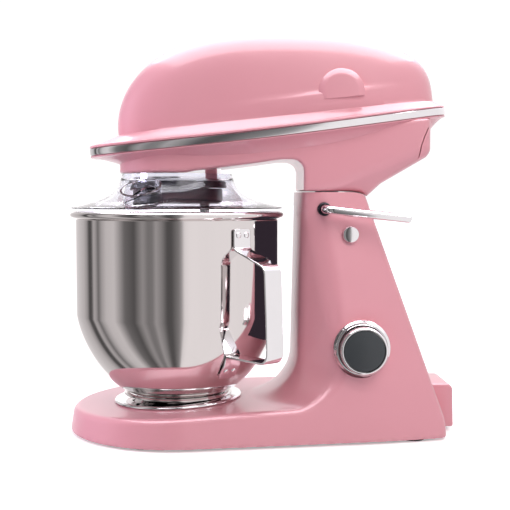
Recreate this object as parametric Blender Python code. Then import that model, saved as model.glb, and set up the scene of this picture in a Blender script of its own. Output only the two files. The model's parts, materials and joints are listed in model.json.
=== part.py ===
"""A tilt-head stand mixer with a steel bowl, built as an assembly of separate pieces.

Frame: metres, +Z up, the bowl's axis is the Z axis, the table is the plane Z = 0, and the nose points to -X.
"""

import bmesh
import bpy
import math
from mathutils import Matrix, Vector

# Fits
GAP = 0.0003  # between pieces that touch
RUN = 0.0005  # between pieces that turn or slide on each other
WALL = 0.0035  # cast and moulded shells

# Stand
NOSE_RADIUS = 0.111
REAR_X = 0.268
REAR_HALF = 0.079
REAR_CORNER = 0.020
CAST_BOTTOM = 0.0025
BASE_TOP = 0.031  # at the bowl's axis
TOP_SLOPE = math.tan(math.radians(2.5))  # the deck rises towards the column
DRAFT = 0.15  # how far the sides lean in for each metre of height
COLUMN_FRONT = 0.127
COLUMN_FRONT_HALF = 0.0913
SIDE_TAPER = 0.086
BASE_TAPER = 0.13
COLUMN_TOP = 0.245
FILLET = 0.045  # from the deck up into the column
REAR_TOP = (0.191, 0.239)
REAR_FOOT = (0.268, 0.017)

COVER_SHEET = 0.002
REAR_POST_TOP = 0.125  # where the rear posts run into the raked wall
SCREW_PLACES = [(-0.062, 0.062), (-0.062, -0.062), (0.225, 0.045), (0.225, -0.045)]
FOOT_PLACES = [(-0.030, 0.085), (-0.030, -0.085), (0.235, 0.062), (0.235, -0.062)]
HOUSING_BACK = 0.283  # the low box behind the column

# Head hinge
PIVOT = (0.173, 0.203)
SEAM_RADIUS = 0.0418  # the column's rounded top, about the hinge
PIN_RADIUS = 0.004
BRACKET_HALF = 0.026
CAP_RADIUS = 0.008

# Bowl and its seat
BOWL_RADIUS = 0.1045
BOWL_WALL = 0.0012
RIM_Z = 0.222
BEAD_RADIUS = 0.0035
BOWL_SHOULDER_Z = 0.1215
BOWL_FLOOR_Z = 0.0365
BOWL_FLOOR_RADIUS = 0.039
SEAT_RADIUS = 0.066
FOOT_RADIUS = 0.054
HANDLE_ANGLE = math.radians(-52.4)
STRAP_WIDTH = 0.020
STRAP_THICKNESS = 0.002
STRAP_LIFT = GAP + 0.0006  # between the bowl's flat-sided wall and the strap
UPPER_TAB = (0.2095, 0.1950)  # the strap's ends lie on the bowl between these heights
LOWER_TAB = (0.0800, 0.0640)
RIVET_HEIGHTS = (0.2035, 0.2035, 0.0715, 0.0715)
RIVET_SIDE = 0.0048

# Head, measured in its own sloping plane: U runs from nose to tail, V is square to it
HEAD_NOSE = (-0.0894, 0.289)
HEAD_SLOPE = math.radians(6.06)
BAND_LENGTH = 0.3674
BAND_HALF = 0.069
BAND_HEIGHT = 0.0074
BAND_DEPTH = 0.0042
DOME_START = 0.031
DOME_END = 0.356
DOME_HALF = 0.060
DOME_FOOT = 0.0165
HOUSING_HALF = 0.0535
HOUSING_FLOOR = 0.264
BOSS_X = 0.163
BOSS_V = 0.031
BOSS_Y = 0.0600
BOSS_RADIUS = 0.0215
BOSS_LEAN = math.radians(5)

# Planetary drive
TOOL_OFFSET = 0.028
GEAR_MODULE = 0.002
RING_TEETH = 38
PLANET_TEETH = 10
HUB_RADIUS = 0.0455
HUB_SEAT = 0.2745  # the top of the ring that the hub hangs on
COLLAR_RADIUS = 0.051
CARRIER_RADIUS = 0.0467
CARRIER_Z = (0.232, 0.248)
MOTOR_X = 0.112
PULLEY_Z = (0.2930, 0.3040)
MAIN_PULLEY_RADIUS = 0.036
MOTOR_PULLEY_RADIUS = 0.012

# Controls
LEVER = (0.147, 0.228)
LEVER_RADIUS = 0.0042
LEVER_Y = -0.0712
BOOT_RADIUS = 0.0066  # the lever's bush
KNOB = (0.182, 0.0925)
KNOB_RADIUS = 0.0228
BEZEL_RADIUS = 0.028
PAD_Y = -0.0745

SIDES = 26  # of a large round piece


def clear_scene():
    for obj in list(bpy.data.objects):
        bpy.data.objects.remove(obj, do_unlink=True)


def material(name, colour, roughness, metallic=0.0):
    made = bpy.data.materials.new(name)
    made.use_nodes = True
    shader = made.node_tree.nodes["Principled BSDF"]
    shader.inputs["Base Color"].default_value = (*colour, 1.0)
    shader.inputs["Roughness"].default_value = roughness
    shader.inputs["Metallic"].default_value = metallic
    return made


def make_materials():
    return {
        "pink": material("pink", (0.73, 0.33, 0.38), 0.28),
        "chrome": material("chrome", (0.80, 0.80, 0.82), 0.08, 1.0),
        "steel": material("steel", (0.62, 0.58, 0.56), 0.18, 1.0),
        "black": material("black", (0.02, 0.02, 0.025), 0.35),
        "clear": material("clear", (0.86, 0.90, 0.93), 0.05),
        "rubber": material("rubber", (0.03, 0.03, 0.03), 0.8),
        "knob_dark": material("knob_dark", (0.03, 0.033, 0.038), 0.45),
        "alloy": material("alloy", (0.45, 0.46, 0.47), 0.45, 1.0),
        "board": material("board", (0.02, 0.16, 0.07), 0.5),
        "copper": material("copper", (0.55, 0.25, 0.12), 0.4, 1.0),
        "nylon": material("nylon", (0.75, 0.73, 0.68), 0.5),
    }


def add_object(name, mesh_builder, finish, smooth=True):
    """Turns a bmesh into an object whose faces point out."""
    bmesh.ops.recalc_face_normals(mesh_builder, faces=mesh_builder.faces)
    mesh = bpy.data.meshes.new(name)
    mesh_builder.to_mesh(mesh)
    mesh_builder.free()
    obj = bpy.data.objects.new(name, mesh)
    bpy.context.scene.collection.objects.link(obj)
    if finish is not None:
        mesh.materials.append(finish)
    if smooth:
        mesh.shade_smooth()
        mesh.set_sharp_from_angle(angle=math.radians(35))
    return obj


def loft(name, rings, finish=None, closed=False):
    """Skins rings of equally many points. An open loft is capped, and a closed one joins its ends."""
    made = bmesh.new()
    rows = [[made.verts.new(point) for point in ring] for ring in rings]
    count = len(rows[0])
    pairs = list(zip(rows, rows[1:]))
    if closed:
        pairs.append((rows[-1], rows[0]))
    for low, high in pairs:
        for i in range(count):
            j = (i + 1) % count
            made.faces.new((low[i], low[j], high[j], high[i]))
    if not closed:
        made.faces.new(rows[0])
        made.faces.new(rows[-1])
    return add_object(name, made, finish)


def turned(name, profile, finish=None, centre=(0.0, 0.0), sides=SIDES):
    """Turns a closed (radius, height) profile about a vertical axis. Every radius is above zero."""
    rings = []
    for i in range(sides):
        angle = 2 * math.pi * i / sides
        c, s = math.cos(angle), math.sin(angle)
        rings.append([(centre[0] + r * c, centre[1] + r * s, z) for r, z in profile])
    return loft(name, rings, finish, closed=True)


def disc_stack(name, profile, finish=None, centre=(0.0, 0.0), sides=SIDES):
    """A turned solid without a bore: (radius, height) from one end to the other."""
    rings = []
    for r, z in profile:
        angles = (2 * math.pi * i / sides for i in range(sides))
        rings.append([(centre[0] + r * math.cos(a), centre[1] + r * math.sin(a), z) for a in angles])
    return loft(name, rings, finish)


def prism(name, outline, low, high, finish=None, axis="Z"):
    """Extrudes a closed outline. On axis Z the outline is (x, y), and on axis Y it is (x, z)."""
    if axis == "Z":
        rings = [[(x, y, level) for x, y in outline] for level in (low, high)]
    elif axis == "Y":
        rings = [[(x, level, z) for x, z in outline] for level in (low, high)]
    else:
        rings = [[(level, y, z) for y, z in outline] for level in (low, high)]
    return loft(name, rings, finish)


def box(name, low, high, finish=None):
    outline = [(low[0], low[1]), (high[0], low[1]), (high[0], high[1]), (low[0], high[1])]
    return prism(name, outline, low[2], high[2], finish)


def lay_along_y(obj, x, z):
    """Swings a piece turned about Z so that its axis runs through (x, z) and its top points to -Y."""
    obj.data.transform(Matrix.Translation((x, 0.0, z)) @ Matrix.Rotation(math.radians(90), 4, "X"))
    return obj


def rod_along_y(name, radius, low, high, place, sides, finish=None):
    """A plain rod through place, an (x, z) point, from low to high along -Y."""
    return lay_along_y(disc_stack(name, [(radius, low), (radius, high)], finish, sides=sides), *place)


def helper(obj):
    obj.hide_render = True
    obj.display_type = "WIRE"
    return obj


def combine(obj, other, operation):
    helper(other)
    step = obj.modifiers.new(f"{operation.lower()}_{other.name}", "BOOLEAN")
    step.operation = operation
    step.solver = "EXACT"
    step.object = other
    return obj


def cut(obj, *others):
    for other in others:
        combine(obj, other, "DIFFERENCE")
    return obj


def join(obj, *others):
    for other in others:
        combine(obj, other, "UNION")
    return obj


def circle(radius, count, centre=(0.0, 0.0), start=0.0):
    steps = (start + 2 * math.pi * i / count for i in range(count))
    return [(centre[0] + radius * math.cos(a), centre[1] + radius * math.sin(a)) for a in steps]


def arc(centre, radius, start_deg, end_deg, count):
    """Points on an arc, both ends included."""
    span = end_deg - start_deg
    angles = (math.radians(start_deg + span * i / (count - 1)) for i in range(count))
    return [(centre[0] + radius * math.cos(a), centre[1] + radius * math.sin(a)) for a in angles]


def origin_to(obj, point):
    """Moves the object's origin without moving its shape."""
    obj.data.transform(Matrix.Translation(-Vector(point)))
    obj.location = point
    return obj


# ---------------------------------------------------------------- stand


def deck_z(x):
    """Height of the base's sloping top."""
    return BASE_TOP + TOP_SLOPE * x


def column_half(x, z):
    """Half the stand's width where its leaning side stands."""
    return COLUMN_FRONT_HALF - SIDE_TAPER * (x - COLUMN_FRONT) - DRAFT * z


def rear_x(z):
    """Where the column's raked rear face is."""
    run = (REAR_TOP[1] - z) / (REAR_TOP[1] - REAR_FOOT[1])
    return min(REAR_TOP[0] + run * (REAR_FOOT[0] - REAR_TOP[0]), REAR_X)


def base_outline(inset):
    """Plan of the base, pulled in all round: a round nose, tapering sides and rounded rear corners."""
    nose = NOSE_RADIUS - inset
    corner = REAR_CORNER - 0.5 * inset
    taper = math.degrees(math.atan(BASE_TAPER))
    end = REAR_X - inset
    side_y = REAR_HALF - inset
    near = arc((end - corner, -side_y + corner), corner, -90 + taper, 0, 5)
    far = [(x, -y) for x, y in reversed(near)]
    return near + far + arc((0.0, 0.0), nose, 90 - taper, 270 + taper, 27)


def base_ring(inset, drop):
    ring = []
    for x, y in base_outline(inset):
        z = deck_z(x) - drop
        ring.append((min(x, rear_x(z) - inset), y, z))
    return ring


def base_block(name, inset, floor, drop, finish=None):
    """The low part of the stand, with a softly rounded top edge."""
    lean = DRAFT * BASE_TOP
    rings = [[(x, y, floor) for x, y in base_outline(inset)]]
    rings += [
        base_ring(inset + 0.85 * lean, drop + 0.0050),
        base_ring(inset + lean + 0.0014, drop + 0.0015),
        base_ring(inset + lean + 0.0050, drop),
    ]
    return loft(name, rings, finish)


def column_ring(z, inset, flare, corner):
    """One level of the column, with rounded corners, pushed out by flare at its front."""
    front = COLUMN_FRONT + inset - flare
    rear = rear_x(z) - inset
    points = []
    for x, sign, start in ((front, -1, 180), (rear, -1, 270), (rear, 1, 0), (front, 1, 90)):
        half = column_half(x, z) - inset
        middle = (x + corner if x == front else x - corner, sign * (half - corner))
        points += arc(middle, corner, start, start + 90, 4)
    return [(x, y, z) for x, y in points]


def fillet_flare(z, low):
    """How far the concave fillet stands in front of the column at this height."""
    rise = max(0.0, FILLET - (z - low))
    return FILLET - math.sqrt(max(FILLET ** 2 - rise ** 2, 0.0))


def column_levels(low, top):
    deck = deck_z(COLUMN_FRONT - FILLET)
    fillet = [deck + FILLET * f for f in (0.03, 0.12, 0.28, 0.5, 0.75, 1.0)]
    return [z for z in [low] + fillet + [0.10, 0.17] if z < top] + [top]


def column_block(name, inset, low, top, finish=None):
    deck = deck_z(COLUMN_FRONT - FILLET)
    rings = []
    for z in column_levels(low, top):
        rings.append(column_ring(z, inset, fillet_flare(max(z, deck), deck), 0.010))
    return loft(name, rings, finish)


def crown_cutter():
    """Everything behind and above the column's rounded top, which follows the hinge."""
    seam = arc(PIVOT, SEAM_RADIUS, 90, 40, 9)
    outline = seam + [(0.245, seam[-1][1]), (0.245, 0.27), (PIVOT[0], 0.27)]
    return prism("cut_crown", outline, -0.08, 0.08, None, "Y")


def make_stand_casting(finish):
    shell = base_block("stand_casting", 0.0, CAST_BOTTOM, 0.0, finish)
    join(shell, column_block("add_column", 0.0, 0.010, COLUMN_TOP))
    join(shell, rod_along_y("add_pad", BEZEL_RADIUS - RUN, 0.060, -PAD_Y, KNOB, 32))
    cut(shell, rod_along_y("cut_pocket", BEZEL_RADIUS + RUN, -PAD_Y, 0.1, KNOB, 32))
    cut(shell, crown_cutter())
    cut(shell, base_block("cut_base", WALL, -0.01, WALL))
    cut(shell, column_block("cut_column", WALL, 0.006, COLUMN_TOP - WALL - 0.0015))
    for index, (x, y) in enumerate(SCREW_PLACES, 1):
        top = REAR_POST_TOP if x > COLUMN_FRONT else deck_z(x) - 0.001
        post = disc_stack(f"add_post_{index}", [(0.0045, 0.0055), (0.0045, top)], None, (x, y), 12)
        join(shell, post)
        cut(shell, disc_stack(f"cut_post_{index}", [(0.0019, 0.0), (0.0019, 0.0185)], None, (x, y), 8))
    cut(shell, rod_along_y("cut_pin", PIN_RADIUS + GAP, -0.1, 0.1, PIVOT, 16))
    cut(shell, rod_along_y("cut_boot", BOOT_RADIUS + GAP, 0.045, 0.08, LEVER, 16))
    cut(shell, rod_along_y("cut_stem", 0.0040, 0.055, 0.09, KNOB, 12))
    slot = [PIVOT] + arc(PIVOT, 0.075, 130, 64, 6)
    cut(shell, prism("cut_slot", slot, -BRACKET_HALF - 0.001, BRACKET_HALF + 0.001, None, "Y"))
    cut(shell, disc_stack("cut_seat", [(0.0051, 0.02), (0.0051, 0.05)], sides=12))
    return shell


def make_bottom_cover(finish):
    """A sheet across the open underside, with countersunk holes."""
    cover = prism("bottom_cover", base_outline(WALL + 0.0040), CAST_BOTTOM, CAST_BOTTOM + COVER_SHEET, finish)
    sink = [(0.0036, 0.0), (0.0036, CAST_BOTTOM + 0.0006), (0.0019, CAST_BOTTOM + 0.0017), (0.0019, 0.01)]
    for index, place in enumerate(SCREW_PLACES, 1):
        cut(cover, disc_stack(f"cut_cover_screw_{index}", sink, None, place, 10))
    return cover


def make_feet(finish):
    """Self-adhesive pads under the cover."""
    profile = [(0.0113, 0.0), (0.0120, 0.0006), (0.0120, CAST_BOTTOM - GAP)]
    for index, place in enumerate(FOOT_PLACES, 1):
        disc_stack(f"foot_{index}", profile, finish, place, 16)


def make_cover_screws(finish):
    flush = CAST_BOTTOM + GAP
    profile = [(0.0031, flush), (0.0031, flush + 0.0004), (0.0016, flush + 0.0015), (0.0016, 0.0160)]
    for index, place in enumerate(SCREW_PLACES, 1):
        disc_stack(f"cover_screw_{index}", profile, finish, place, 10)


def make_bowl_seat(finish):
    """The chrome bayonet plate: a flange that lies on the sloping deck, and a level hub with three tabs."""
    profile = [(SEAT_RADIUS, -0.0030), (SEAT_RADIUS, -0.0016), (SEAT_RADIUS - 0.002, 0.0)]
    flange = disc_stack("bowl_seat", profile, finish)
    tilt = Matrix.Rotation(-math.atan(TOP_SLOPE), 4, "Y")
    flange.data.transform(Matrix.Translation((0, 0, BASE_TOP + 0.0034)) @ tilt)
    top = BOWL_FLOOR_Z - GAP
    hub = disc_stack("add_hub", [(0.042, 0.0330), (0.042, top)], sides=SIDES)
    join(flange, hub)
    for index in range(3):
        middle = 120 * index
        tab = arc((0, 0), 0.040, middle - 16, middle + 16, 4) + arc((0, 0), 0.0462, middle + 16, middle - 16, 4)
        join(flange, prism(f"add_tab_{index + 1}", tab, top - 0.0020, top))
    join(flange, disc_stack("add_stud", [(0.0046, 0.0285), (0.0046, 0.0340)], sides=12))
    return flange


def make_rear_housing(finish):
    """A low box behind the column that holds the mains inlet."""
    top, low, back = 0.049, 0.0045, HOUSING_BACK
    outline = [(REAR_X + GAP, low), (back, low), (back - 0.001, top - 0.004), (back - 0.005, top)]
    outline += [(rear_x(top) + GAP, top), (REAR_X + GAP, REAR_FOOT[1])]
    housing = prism("rear_housing", outline, -0.032, 0.032, finish, "Y")
    cut(housing, box("cut_inlet", (back - 0.008, -0.0135, 0.014), (back + 0.01, 0.0135, 0.036)))
    return housing


def make_power_inlet(finish):
    back = HOUSING_BACK
    low, high = (back - 0.0077, -0.0132, 0.0143), (back - 0.0010, 0.0132, 0.0357)
    inlet = box("power_inlet", low, high, finish)
    cut(inlet, box("cut_socket", (back - 0.0060, -0.0090, 0.0180), (back + 0.01, 0.0090, 0.0320)))
    return inlet


def make_hinge(finishes):
    reach = column_half(*PIVOT) - 0.0005
    pin = rod_along_y("hinge_pin", PIN_RADIUS, -reach, reach, PIVOT, 16, finishes["alloy"])
    origin_to(pin, (PIVOT[0], 0.0, PIVOT[1]))
    face = column_half(PIVOT[0], PIVOT[1] - CAP_RADIUS) + GAP
    cap = [(CAP_RADIUS, face), (CAP_RADIUS, face + 0.0012), (CAP_RADIUS - 0.0018, face + 0.0022)]
    for name, sign in (("hinge_cap_left", 1), ("hinge_cap_right", -1)):
        profile = [(radius, sign * reach) for radius, reach in cap]
        lay_along_y(disc_stack(name, profile, finishes["chrome"], sides=20), *PIVOT)


def make_control_board(finish):
    x, z = KNOB
    return box("control_board", (x - 0.022, -0.0516, z - 0.026), (x + 0.022, -0.0500, z + 0.026), finish)


def make_potentiometer(finish):
    profile = [(0.0085, 0.0519), (0.0085, 0.0580), (0.0034, 0.0580), (0.0034, 0.0630)]
    return lay_along_y(disc_stack("speed_potentiometer", profile, finish, sides=14), *KNOB)


def make_knob_bezel(finish):
    low, inner = -PAD_Y + GAP, KNOB_RADIUS + RUN
    top = low + 0.0052
    profile = [(inner, low), (BEZEL_RADIUS, low), (BEZEL_RADIUS, low + 0.0020)]
    profile += [(inner + 0.0020, top), (inner, top)]
    return lay_along_y(turned("knob_bezel", profile, finish, sides=26), *KNOB)


def make_speed_knob(finishes):
    low = -PAD_Y + RUN
    front = low + 0.0195
    profile = [
        (0.0034, 0.0634), (0.0034, low), (KNOB_RADIUS, low),
        (KNOB_RADIUS, front - 0.0015), (KNOB_RADIUS - 0.0012, front),
        (0.0206, front), (0.0203, front - 0.0030),
    ]
    knob = lay_along_y(disc_stack("speed_knob", profile, finishes["chrome"], sides=26), *KNOB)
    origin_to(knob, (KNOB[0], 0.0, KNOB[1]))
    face = [(0.0199, front - 0.0027), (0.0199, front - 0.0004)]
    face += [(0.0120, front + 0.0008), (0.0040, front + 0.0011)]
    face = lay_along_y(disc_stack("knob_face", face, finishes["knob_dark"], sides=26), *KNOB)
    x, z = KNOB
    low, high = (x - 0.0008, -front - 0.003, z + 0.0125), (x + 0.0008, -front + 0.0002, z + 0.0185)
    cut(face, box("cut_mark", low, high))
    return knob


def make_lock_lever(finishes):
    """The chrome rod comes out of its bush, bends to the rear and slopes down a little."""
    bush_out = column_half(*LEVER) + 0.0022
    bore, bush_in = LEVER_RADIUS + RUN, 0.0510
    bush = [(bore, bush_in), (BOOT_RADIUS, bush_in), (BOOT_RADIUS, bush_out), (bore, bush_out)]
    lay_along_y(turned("lever_bush", bush, finishes["black"], sides=16), *LEVER)
    bend, slope = 0.0080, math.radians(-6.6)
    corner = Vector((LEVER[0], LEVER_Y, LEVER[1]))
    along = Vector((math.cos(slope), 0.0, math.sin(slope)))
    centre = corner + along * bend + Vector((0.0, bend, 0.0))
    route = [Vector((LEVER[0], -0.0380, LEVER[1]))]
    for i in range(6):
        angle = math.radians(18 * i)
        route.append(centre - along * bend * math.cos(angle) - Vector((0.0, bend, 0.0)) * math.sin(angle))
    route.append(corner + along * 0.0815)
    rings = []
    for i, point in enumerate(route):
        ahead = (route[min(i + 1, len(route) - 1)] - route[max(i - 1, 0)]).normalized()
        side = ahead.cross(Vector((0.0, 0.0, 1.0))).normalized()
        up = side.cross(ahead)
        angles = [2 * math.pi * k / 14 for k in range(14)]
        rings.append([point + LEVER_RADIUS * (math.cos(a) * side + math.sin(a) * up) for a in angles])
    for radius, reach in ((0.0034, 0.0012), (0.0018, 0.0020)):
        angles = [2 * math.pi * k / 14 for k in range(14)]
        end = route[-1] + along * reach
        rings.append([end + radius * (math.cos(a) * side + math.sin(a) * up) for a in angles])
    lever = loft("lock_lever", rings, finishes["chrome"])
    return origin_to(lever, (LEVER[0], 0.0, LEVER[1]))


def make_lock_cam(finish):
    """The hook on the lever's inner end that holds the hinge bracket down."""
    x, z = LEVER
    outline = [(x + a, z + b) for a, b in circle(0.0072, 14)]
    cam = prism("lock_cam", outline, -0.0377, -0.0320, finish, "Y")
    tip = x + 0.0125
    hook = [(x - 0.002, z - 0.0065), (tip, z - 0.0065), (tip, z - 0.0030), (x - 0.002, z - 0.0020)]
    join(cam, prism("add_hook", hook, -0.0377, -0.0320, None, "Y"))
    return cam


# ---------------------------------------------------------------- bowl


def bowl_radius(z):
    """Outer radius of the bowl's rounded lower half."""
    fall = (BOWL_SHOULDER_Z - z) / (BOWL_SHOULDER_Z - BOWL_FLOOR_Z)
    bulge = (1 - min(max(fall, 0.0), 1.0) ** 1.45) ** 0.571
    return BOWL_FLOOR_RADIUS + (BOWL_RADIUS - BOWL_FLOOR_RADIUS) * bulge


def make_bowl(finish):
    falls = (0.0, 0.25, 0.48, 0.68, 0.84, 0.95)
    levels = [BOWL_SHOULDER_Z - f * (BOWL_SHOULDER_Z - BOWL_FLOOR_Z) for f in falls]
    bead_centre = (BOWL_RADIUS + BEAD_RADIUS - BOWL_WALL, RIM_Z)
    bead = arc(bead_centre, BEAD_RADIUS, 165, -105, 7)
    inside = [(bowl_radius(z) - BOWL_WALL, z + 0.5 * BOWL_WALL) for z in reversed(levels)]
    outside = [(BOWL_RADIUS, RIM_Z - BEAD_RADIUS - 0.0008)] + [(bowl_radius(z), z) for z in levels]
    profile = inside + [(BOWL_RADIUS - BOWL_WALL, RIM_Z - 0.004)] + bead + outside
    floor_top = BOWL_FLOOR_Z + BOWL_WALL
    floor = [(0.030, BOWL_FLOOR_Z), (0.002, BOWL_FLOOR_Z), (0.002, floor_top), (0.030, floor_top)]
    bowl = turned("bowl", profile + floor, finish, sides=30)
    plug = disc_stack("add_floor", [(0.003, BOWL_FLOOR_Z), (0.003, BOWL_FLOOR_Z + BOWL_WALL)], sides=12)
    join(bowl, plug)
    for index in (1, 2, 3, 4):
        hole = disc_stack(f"cut_rivet_{index}", [(0.0017, -0.004), (0.0017, 0.004)], sides=8)
        cut(bowl, place_rivet(hole, index))
    return bowl


def make_bowl_foot(finish):
    """A turned ring under the bowl, which stands round the seat's tabs."""
    under = BASE_TOP + TOP_SLOPE * FOOT_RADIUS + 0.0036
    flare = FOOT_RADIUS + 0.0020
    outer = [(flare, under), (flare, under + 0.0012), (FOOT_RADIUS, under + 0.0024)]
    top = [(0.0530, 0.0392), (0.0500, 0.0376), (0.0500, under)]
    foot = turned("bowl_foot", outer + top, finish, sides=SIDES)
    return foot


def lower_lean():
    """Angle of the bowl's wall, from upright, where the strap's lower end lies."""
    low, high = LOWER_TAB[1], LOWER_TAB[0]
    return math.atan2(bowl_radius(high) - bowl_radius(low), high - low)


def handle_frame():
    return Matrix.Rotation(HANDLE_ANGLE, 4, "Z")


def place_rivet(piece, index):
    """Stands a rivet or its hole square to the bowl's wall, to one side of the handle's middle line."""
    side = -RIVET_SIDE if index % 2 else RIVET_SIDE
    z = RIVET_HEIGHTS[index - 1]
    tilt = lower_lean() if z < BOWL_SHOULDER_Z else 0.0
    swing = Matrix.Rotation(math.radians(90) + tilt, 4, "Y")
    piece.data.transform(handle_frame() @ Matrix.Translation((bowl_radius(z), side, z)) @ swing)
    return piece


def strap_route():
    """Middle line of the strap in the (radius, height) plane."""
    lean = lower_lean()
    off = STRAP_LIFT + 0.5 * STRAP_THICKNESS
    upper = BOWL_RADIUS + off
    route = [(upper, UPPER_TAB[0]), (upper, UPPER_TAB[1] + 0.001)]
    route += arc((upper + 0.006, UPPER_TAB[1] - 0.001), 0.006, 180, 245, 4)[1:]
    route += arc((0.1420, 0.1680), 0.0095, 62, 2, 5)
    route += [(0.1535, 0.1300), (0.1545, 0.1000)]
    route += arc((0.1440, 0.0960), 0.0105, -2, -86, 6)
    mid_low = bowl_radius(LOWER_TAB[0]) + off * math.cos(lean)
    route += arc((mid_low + 0.0055, LOWER_TAB[0] + 0.0005), 0.0050, 100, 160, 3)
    for z in (LOWER_TAB[0] - 0.0030, LOWER_TAB[1]):
        route.append((bowl_radius(z) + off * math.cos(lean) + 0.0003, z - off * math.sin(lean)))
    return route


def make_bowl_handle(finish):
    route = [Vector((r, 0.0, z)) for r, z in strap_route()]
    half, thick = STRAP_WIDTH / 2, STRAP_THICKNESS / 2
    rings = []
    for i, point in enumerate(route):
        ahead = (route[min(i + 1, len(route) - 1)] - route[max(i - 1, 0)]).normalized()
        out = Vector((ahead.z, 0.0, -ahead.x))
        corners = ((-half, -thick), (half, -thick), (half, thick), (-half, thick))
        rings.append([point + Vector((0.0, y, 0.0)) + out * t for y, t in corners])
    strap = loft("bowl_handle", rings, finish)
    strap.data.transform(handle_frame())
    for index in (1, 2, 3, 4):
        hole = disc_stack(f"cut_strap_{index}", [(0.0017, -0.006), (0.0017, 0.008)], sides=8)
        cut(strap, place_rivet(hole, index))
    return strap


def make_rivets(finish):
    head = STRAP_LIFT + STRAP_THICKNESS + GAP + 0.0002
    profile = [(0.0013, -0.0016), (0.0013, head), (0.0030, head)]
    profile += [(0.0027, head + 0.0008), (0.0014, head + 0.0013)]
    for index in (1, 2, 3, 4):
        place_rivet(disc_stack(f"handle_rivet_{index}", profile, finish, sides=10), index)


# ---------------------------------------------------------------- head shells


def head_point(u, y, v):
    c, s = math.cos(HEAD_SLOPE), math.sin(HEAD_SLOPE)
    return (HEAD_NOSE[0] + u * c - v * s, y, HEAD_NOSE[1] + u * s + v * c)


def plane_z(x, v):
    """Height, at x, of the line that lies v above the head's sloping plane."""
    u = (x - HEAD_NOSE[0] + v * math.sin(HEAD_SLOPE)) / math.cos(HEAD_SLOPE)
    return head_point(u, 0.0, v)[2]


HEAD_POINTS = 32
BULLET = 2.7  # roundness of the head's plan
NEAR_ANGLES = [2 * math.pi * (i + 0.5) / HEAD_POINTS for i in range(HEAD_POINTS)]


def bullet(start, end, half, angle, power=BULLET):
    """A point of a rounded plan: (u, y). Angle 0 is the nose."""
    c, s = math.cos(angle), math.sin(angle)
    u = (start + end) / 2 - (end - start) / 2 * math.copysign(abs(c) ** (2 / power), c)
    return u, half * math.copysign(abs(s) ** (2 / power), s)


def band_plan(inset, angle):
    return bullet(inset, BAND_LENGTH - inset, BAND_HALF - inset, angle)


def dome_plan(inset, angle):
    return bullet(DOME_START + inset, DOME_END - inset, DOME_HALF - inset, angle)


def plan_ring(v, share, band_inset, dome_inset=0.0):
    """A level ring between the band's plan (share 0) and the dome's plan (share 1)."""
    ring = []
    for angle in NEAR_ANGLES:
        a, b = band_plan(band_inset, angle), dome_plan(dome_inset, angle)
        ring.append(head_point(a[0] + share * (b[0] - a[0]), a[1] + share * (b[1] - a[1]), v))
    return ring


def dome_height(u):
    return 0.098 - 0.906 * (u - 0.140) ** 2


def dome_ring(size, inset):
    """One ring of the dome. Size runs from 1 at its foot to 0 at its top."""
    ring = []
    middle = (DOME_START + DOME_END) / 2
    for angle in NEAR_ANGLES:
        front, rear = max(math.cos(angle), 0.0), max(-math.cos(angle), 0.0)
        steep, crown = 3 + front ** 2 + 9 * rear ** 2, 2.2 - 0.2 * front + 0.8 * rear
        u, y = dome_plan(inset, angle)
        u = middle + size * (u - middle)
        rise = (1 - size ** steep) ** (1 / crown)
        ring.append(head_point(u, size * y, DOME_FOOT + rise * (dome_height(u) - inset - DOME_FOOT)))
    return ring


DOME_SIZES = (0.99, 0.95, 0.87, 0.74, 0.52, 0.20)


def make_head_cover(finish):
    skirt = BAND_DEPTH + GAP
    lip = BAND_HEIGHT / 2 + GAP
    rings = [plan_ring(-BAND_HEIGHT / 2, 0.0, skirt), plan_ring(lip, 0.0, skirt), plan_ring(lip, 0.0, 0.0006)]
    rings.append(plan_ring(lip + 0.0016, 0.0, 0.0010))
    foot = lip + 0.0016
    for share in (0.35, 0.65, 0.88, 1.0):
        rings.append(plan_ring(foot + (DOME_FOOT - foot) * share ** 2.4, share, 0.0010))
    rings += [dome_ring(size, 0.0) for size in DOME_SIZES]
    cover = loft("head_cover", rings, finish)
    inner = [plan_ring(v, 1.0, 0.0, WALL) for v in (-0.012, DOME_FOOT)]
    inner += [dome_ring(size, WALL) for size in DOME_SIZES]
    cut(cover, loft("cut_cover", inner))
    for name, side in (("cut_boss_left", 1), ("cut_boss_right", -1)):
        profile = [(BOSS_RADIUS + GAP, -0.02), (BOSS_RADIUS + GAP, 0.02)]
        cut(cover, place_boss(disc_stack(name, profile, sides=24), side))
    return cover


def make_trim_band(finish):
    half = BAND_HEIGHT / 2
    corners = [(-half, BAND_DEPTH), (half, BAND_DEPTH), (half, 0.0006)]
    corners += [(0.6 * half, 0.0), (-0.6 * half, 0.0), (-half, 0.0006)]
    rings = []
    for angle in NEAR_ANGLES:
        rings.append([head_point(*band_plan(inset, angle), v) for v, inset in corners])
    return loft("trim_band", rings, finish, closed=True)


def housing_profile(inset, top):
    """Side view of the head's lower shell and neck, pulled in by inset, up to top over the head's plane."""
    i = inset
    front, rear = -0.0595 + i, 0.2610 - i
    underside = [(0.0110, HOUSING_FLOOR + i), (0.0200, HOUSING_FLOOR + 0.0020 + i)]
    underside += [(0.0680, 0.2718 + i), (0.1050, 0.2770 + i)]
    throat = arc((0.1150, 0.2650), 0.0120 + i, 90, 0, 5)
    neck = [(COLUMN_FRONT + i, COLUMN_TOP + GAP + i)] + arc(PIVOT, SEAM_RADIUS + RUN + i, 90, 62, 6)
    back = [(0.2060 - i, 0.2535 + 0.4 * i), (0.2500 - i, 0.2795 + i), (rear, 0.2870 + i)]
    edge = [(rear, plane_z(rear, top)), (front, plane_z(front, top))]
    return [(front, HOUSING_FLOOR + i)] + underside + throat + neck + back + edge


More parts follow.
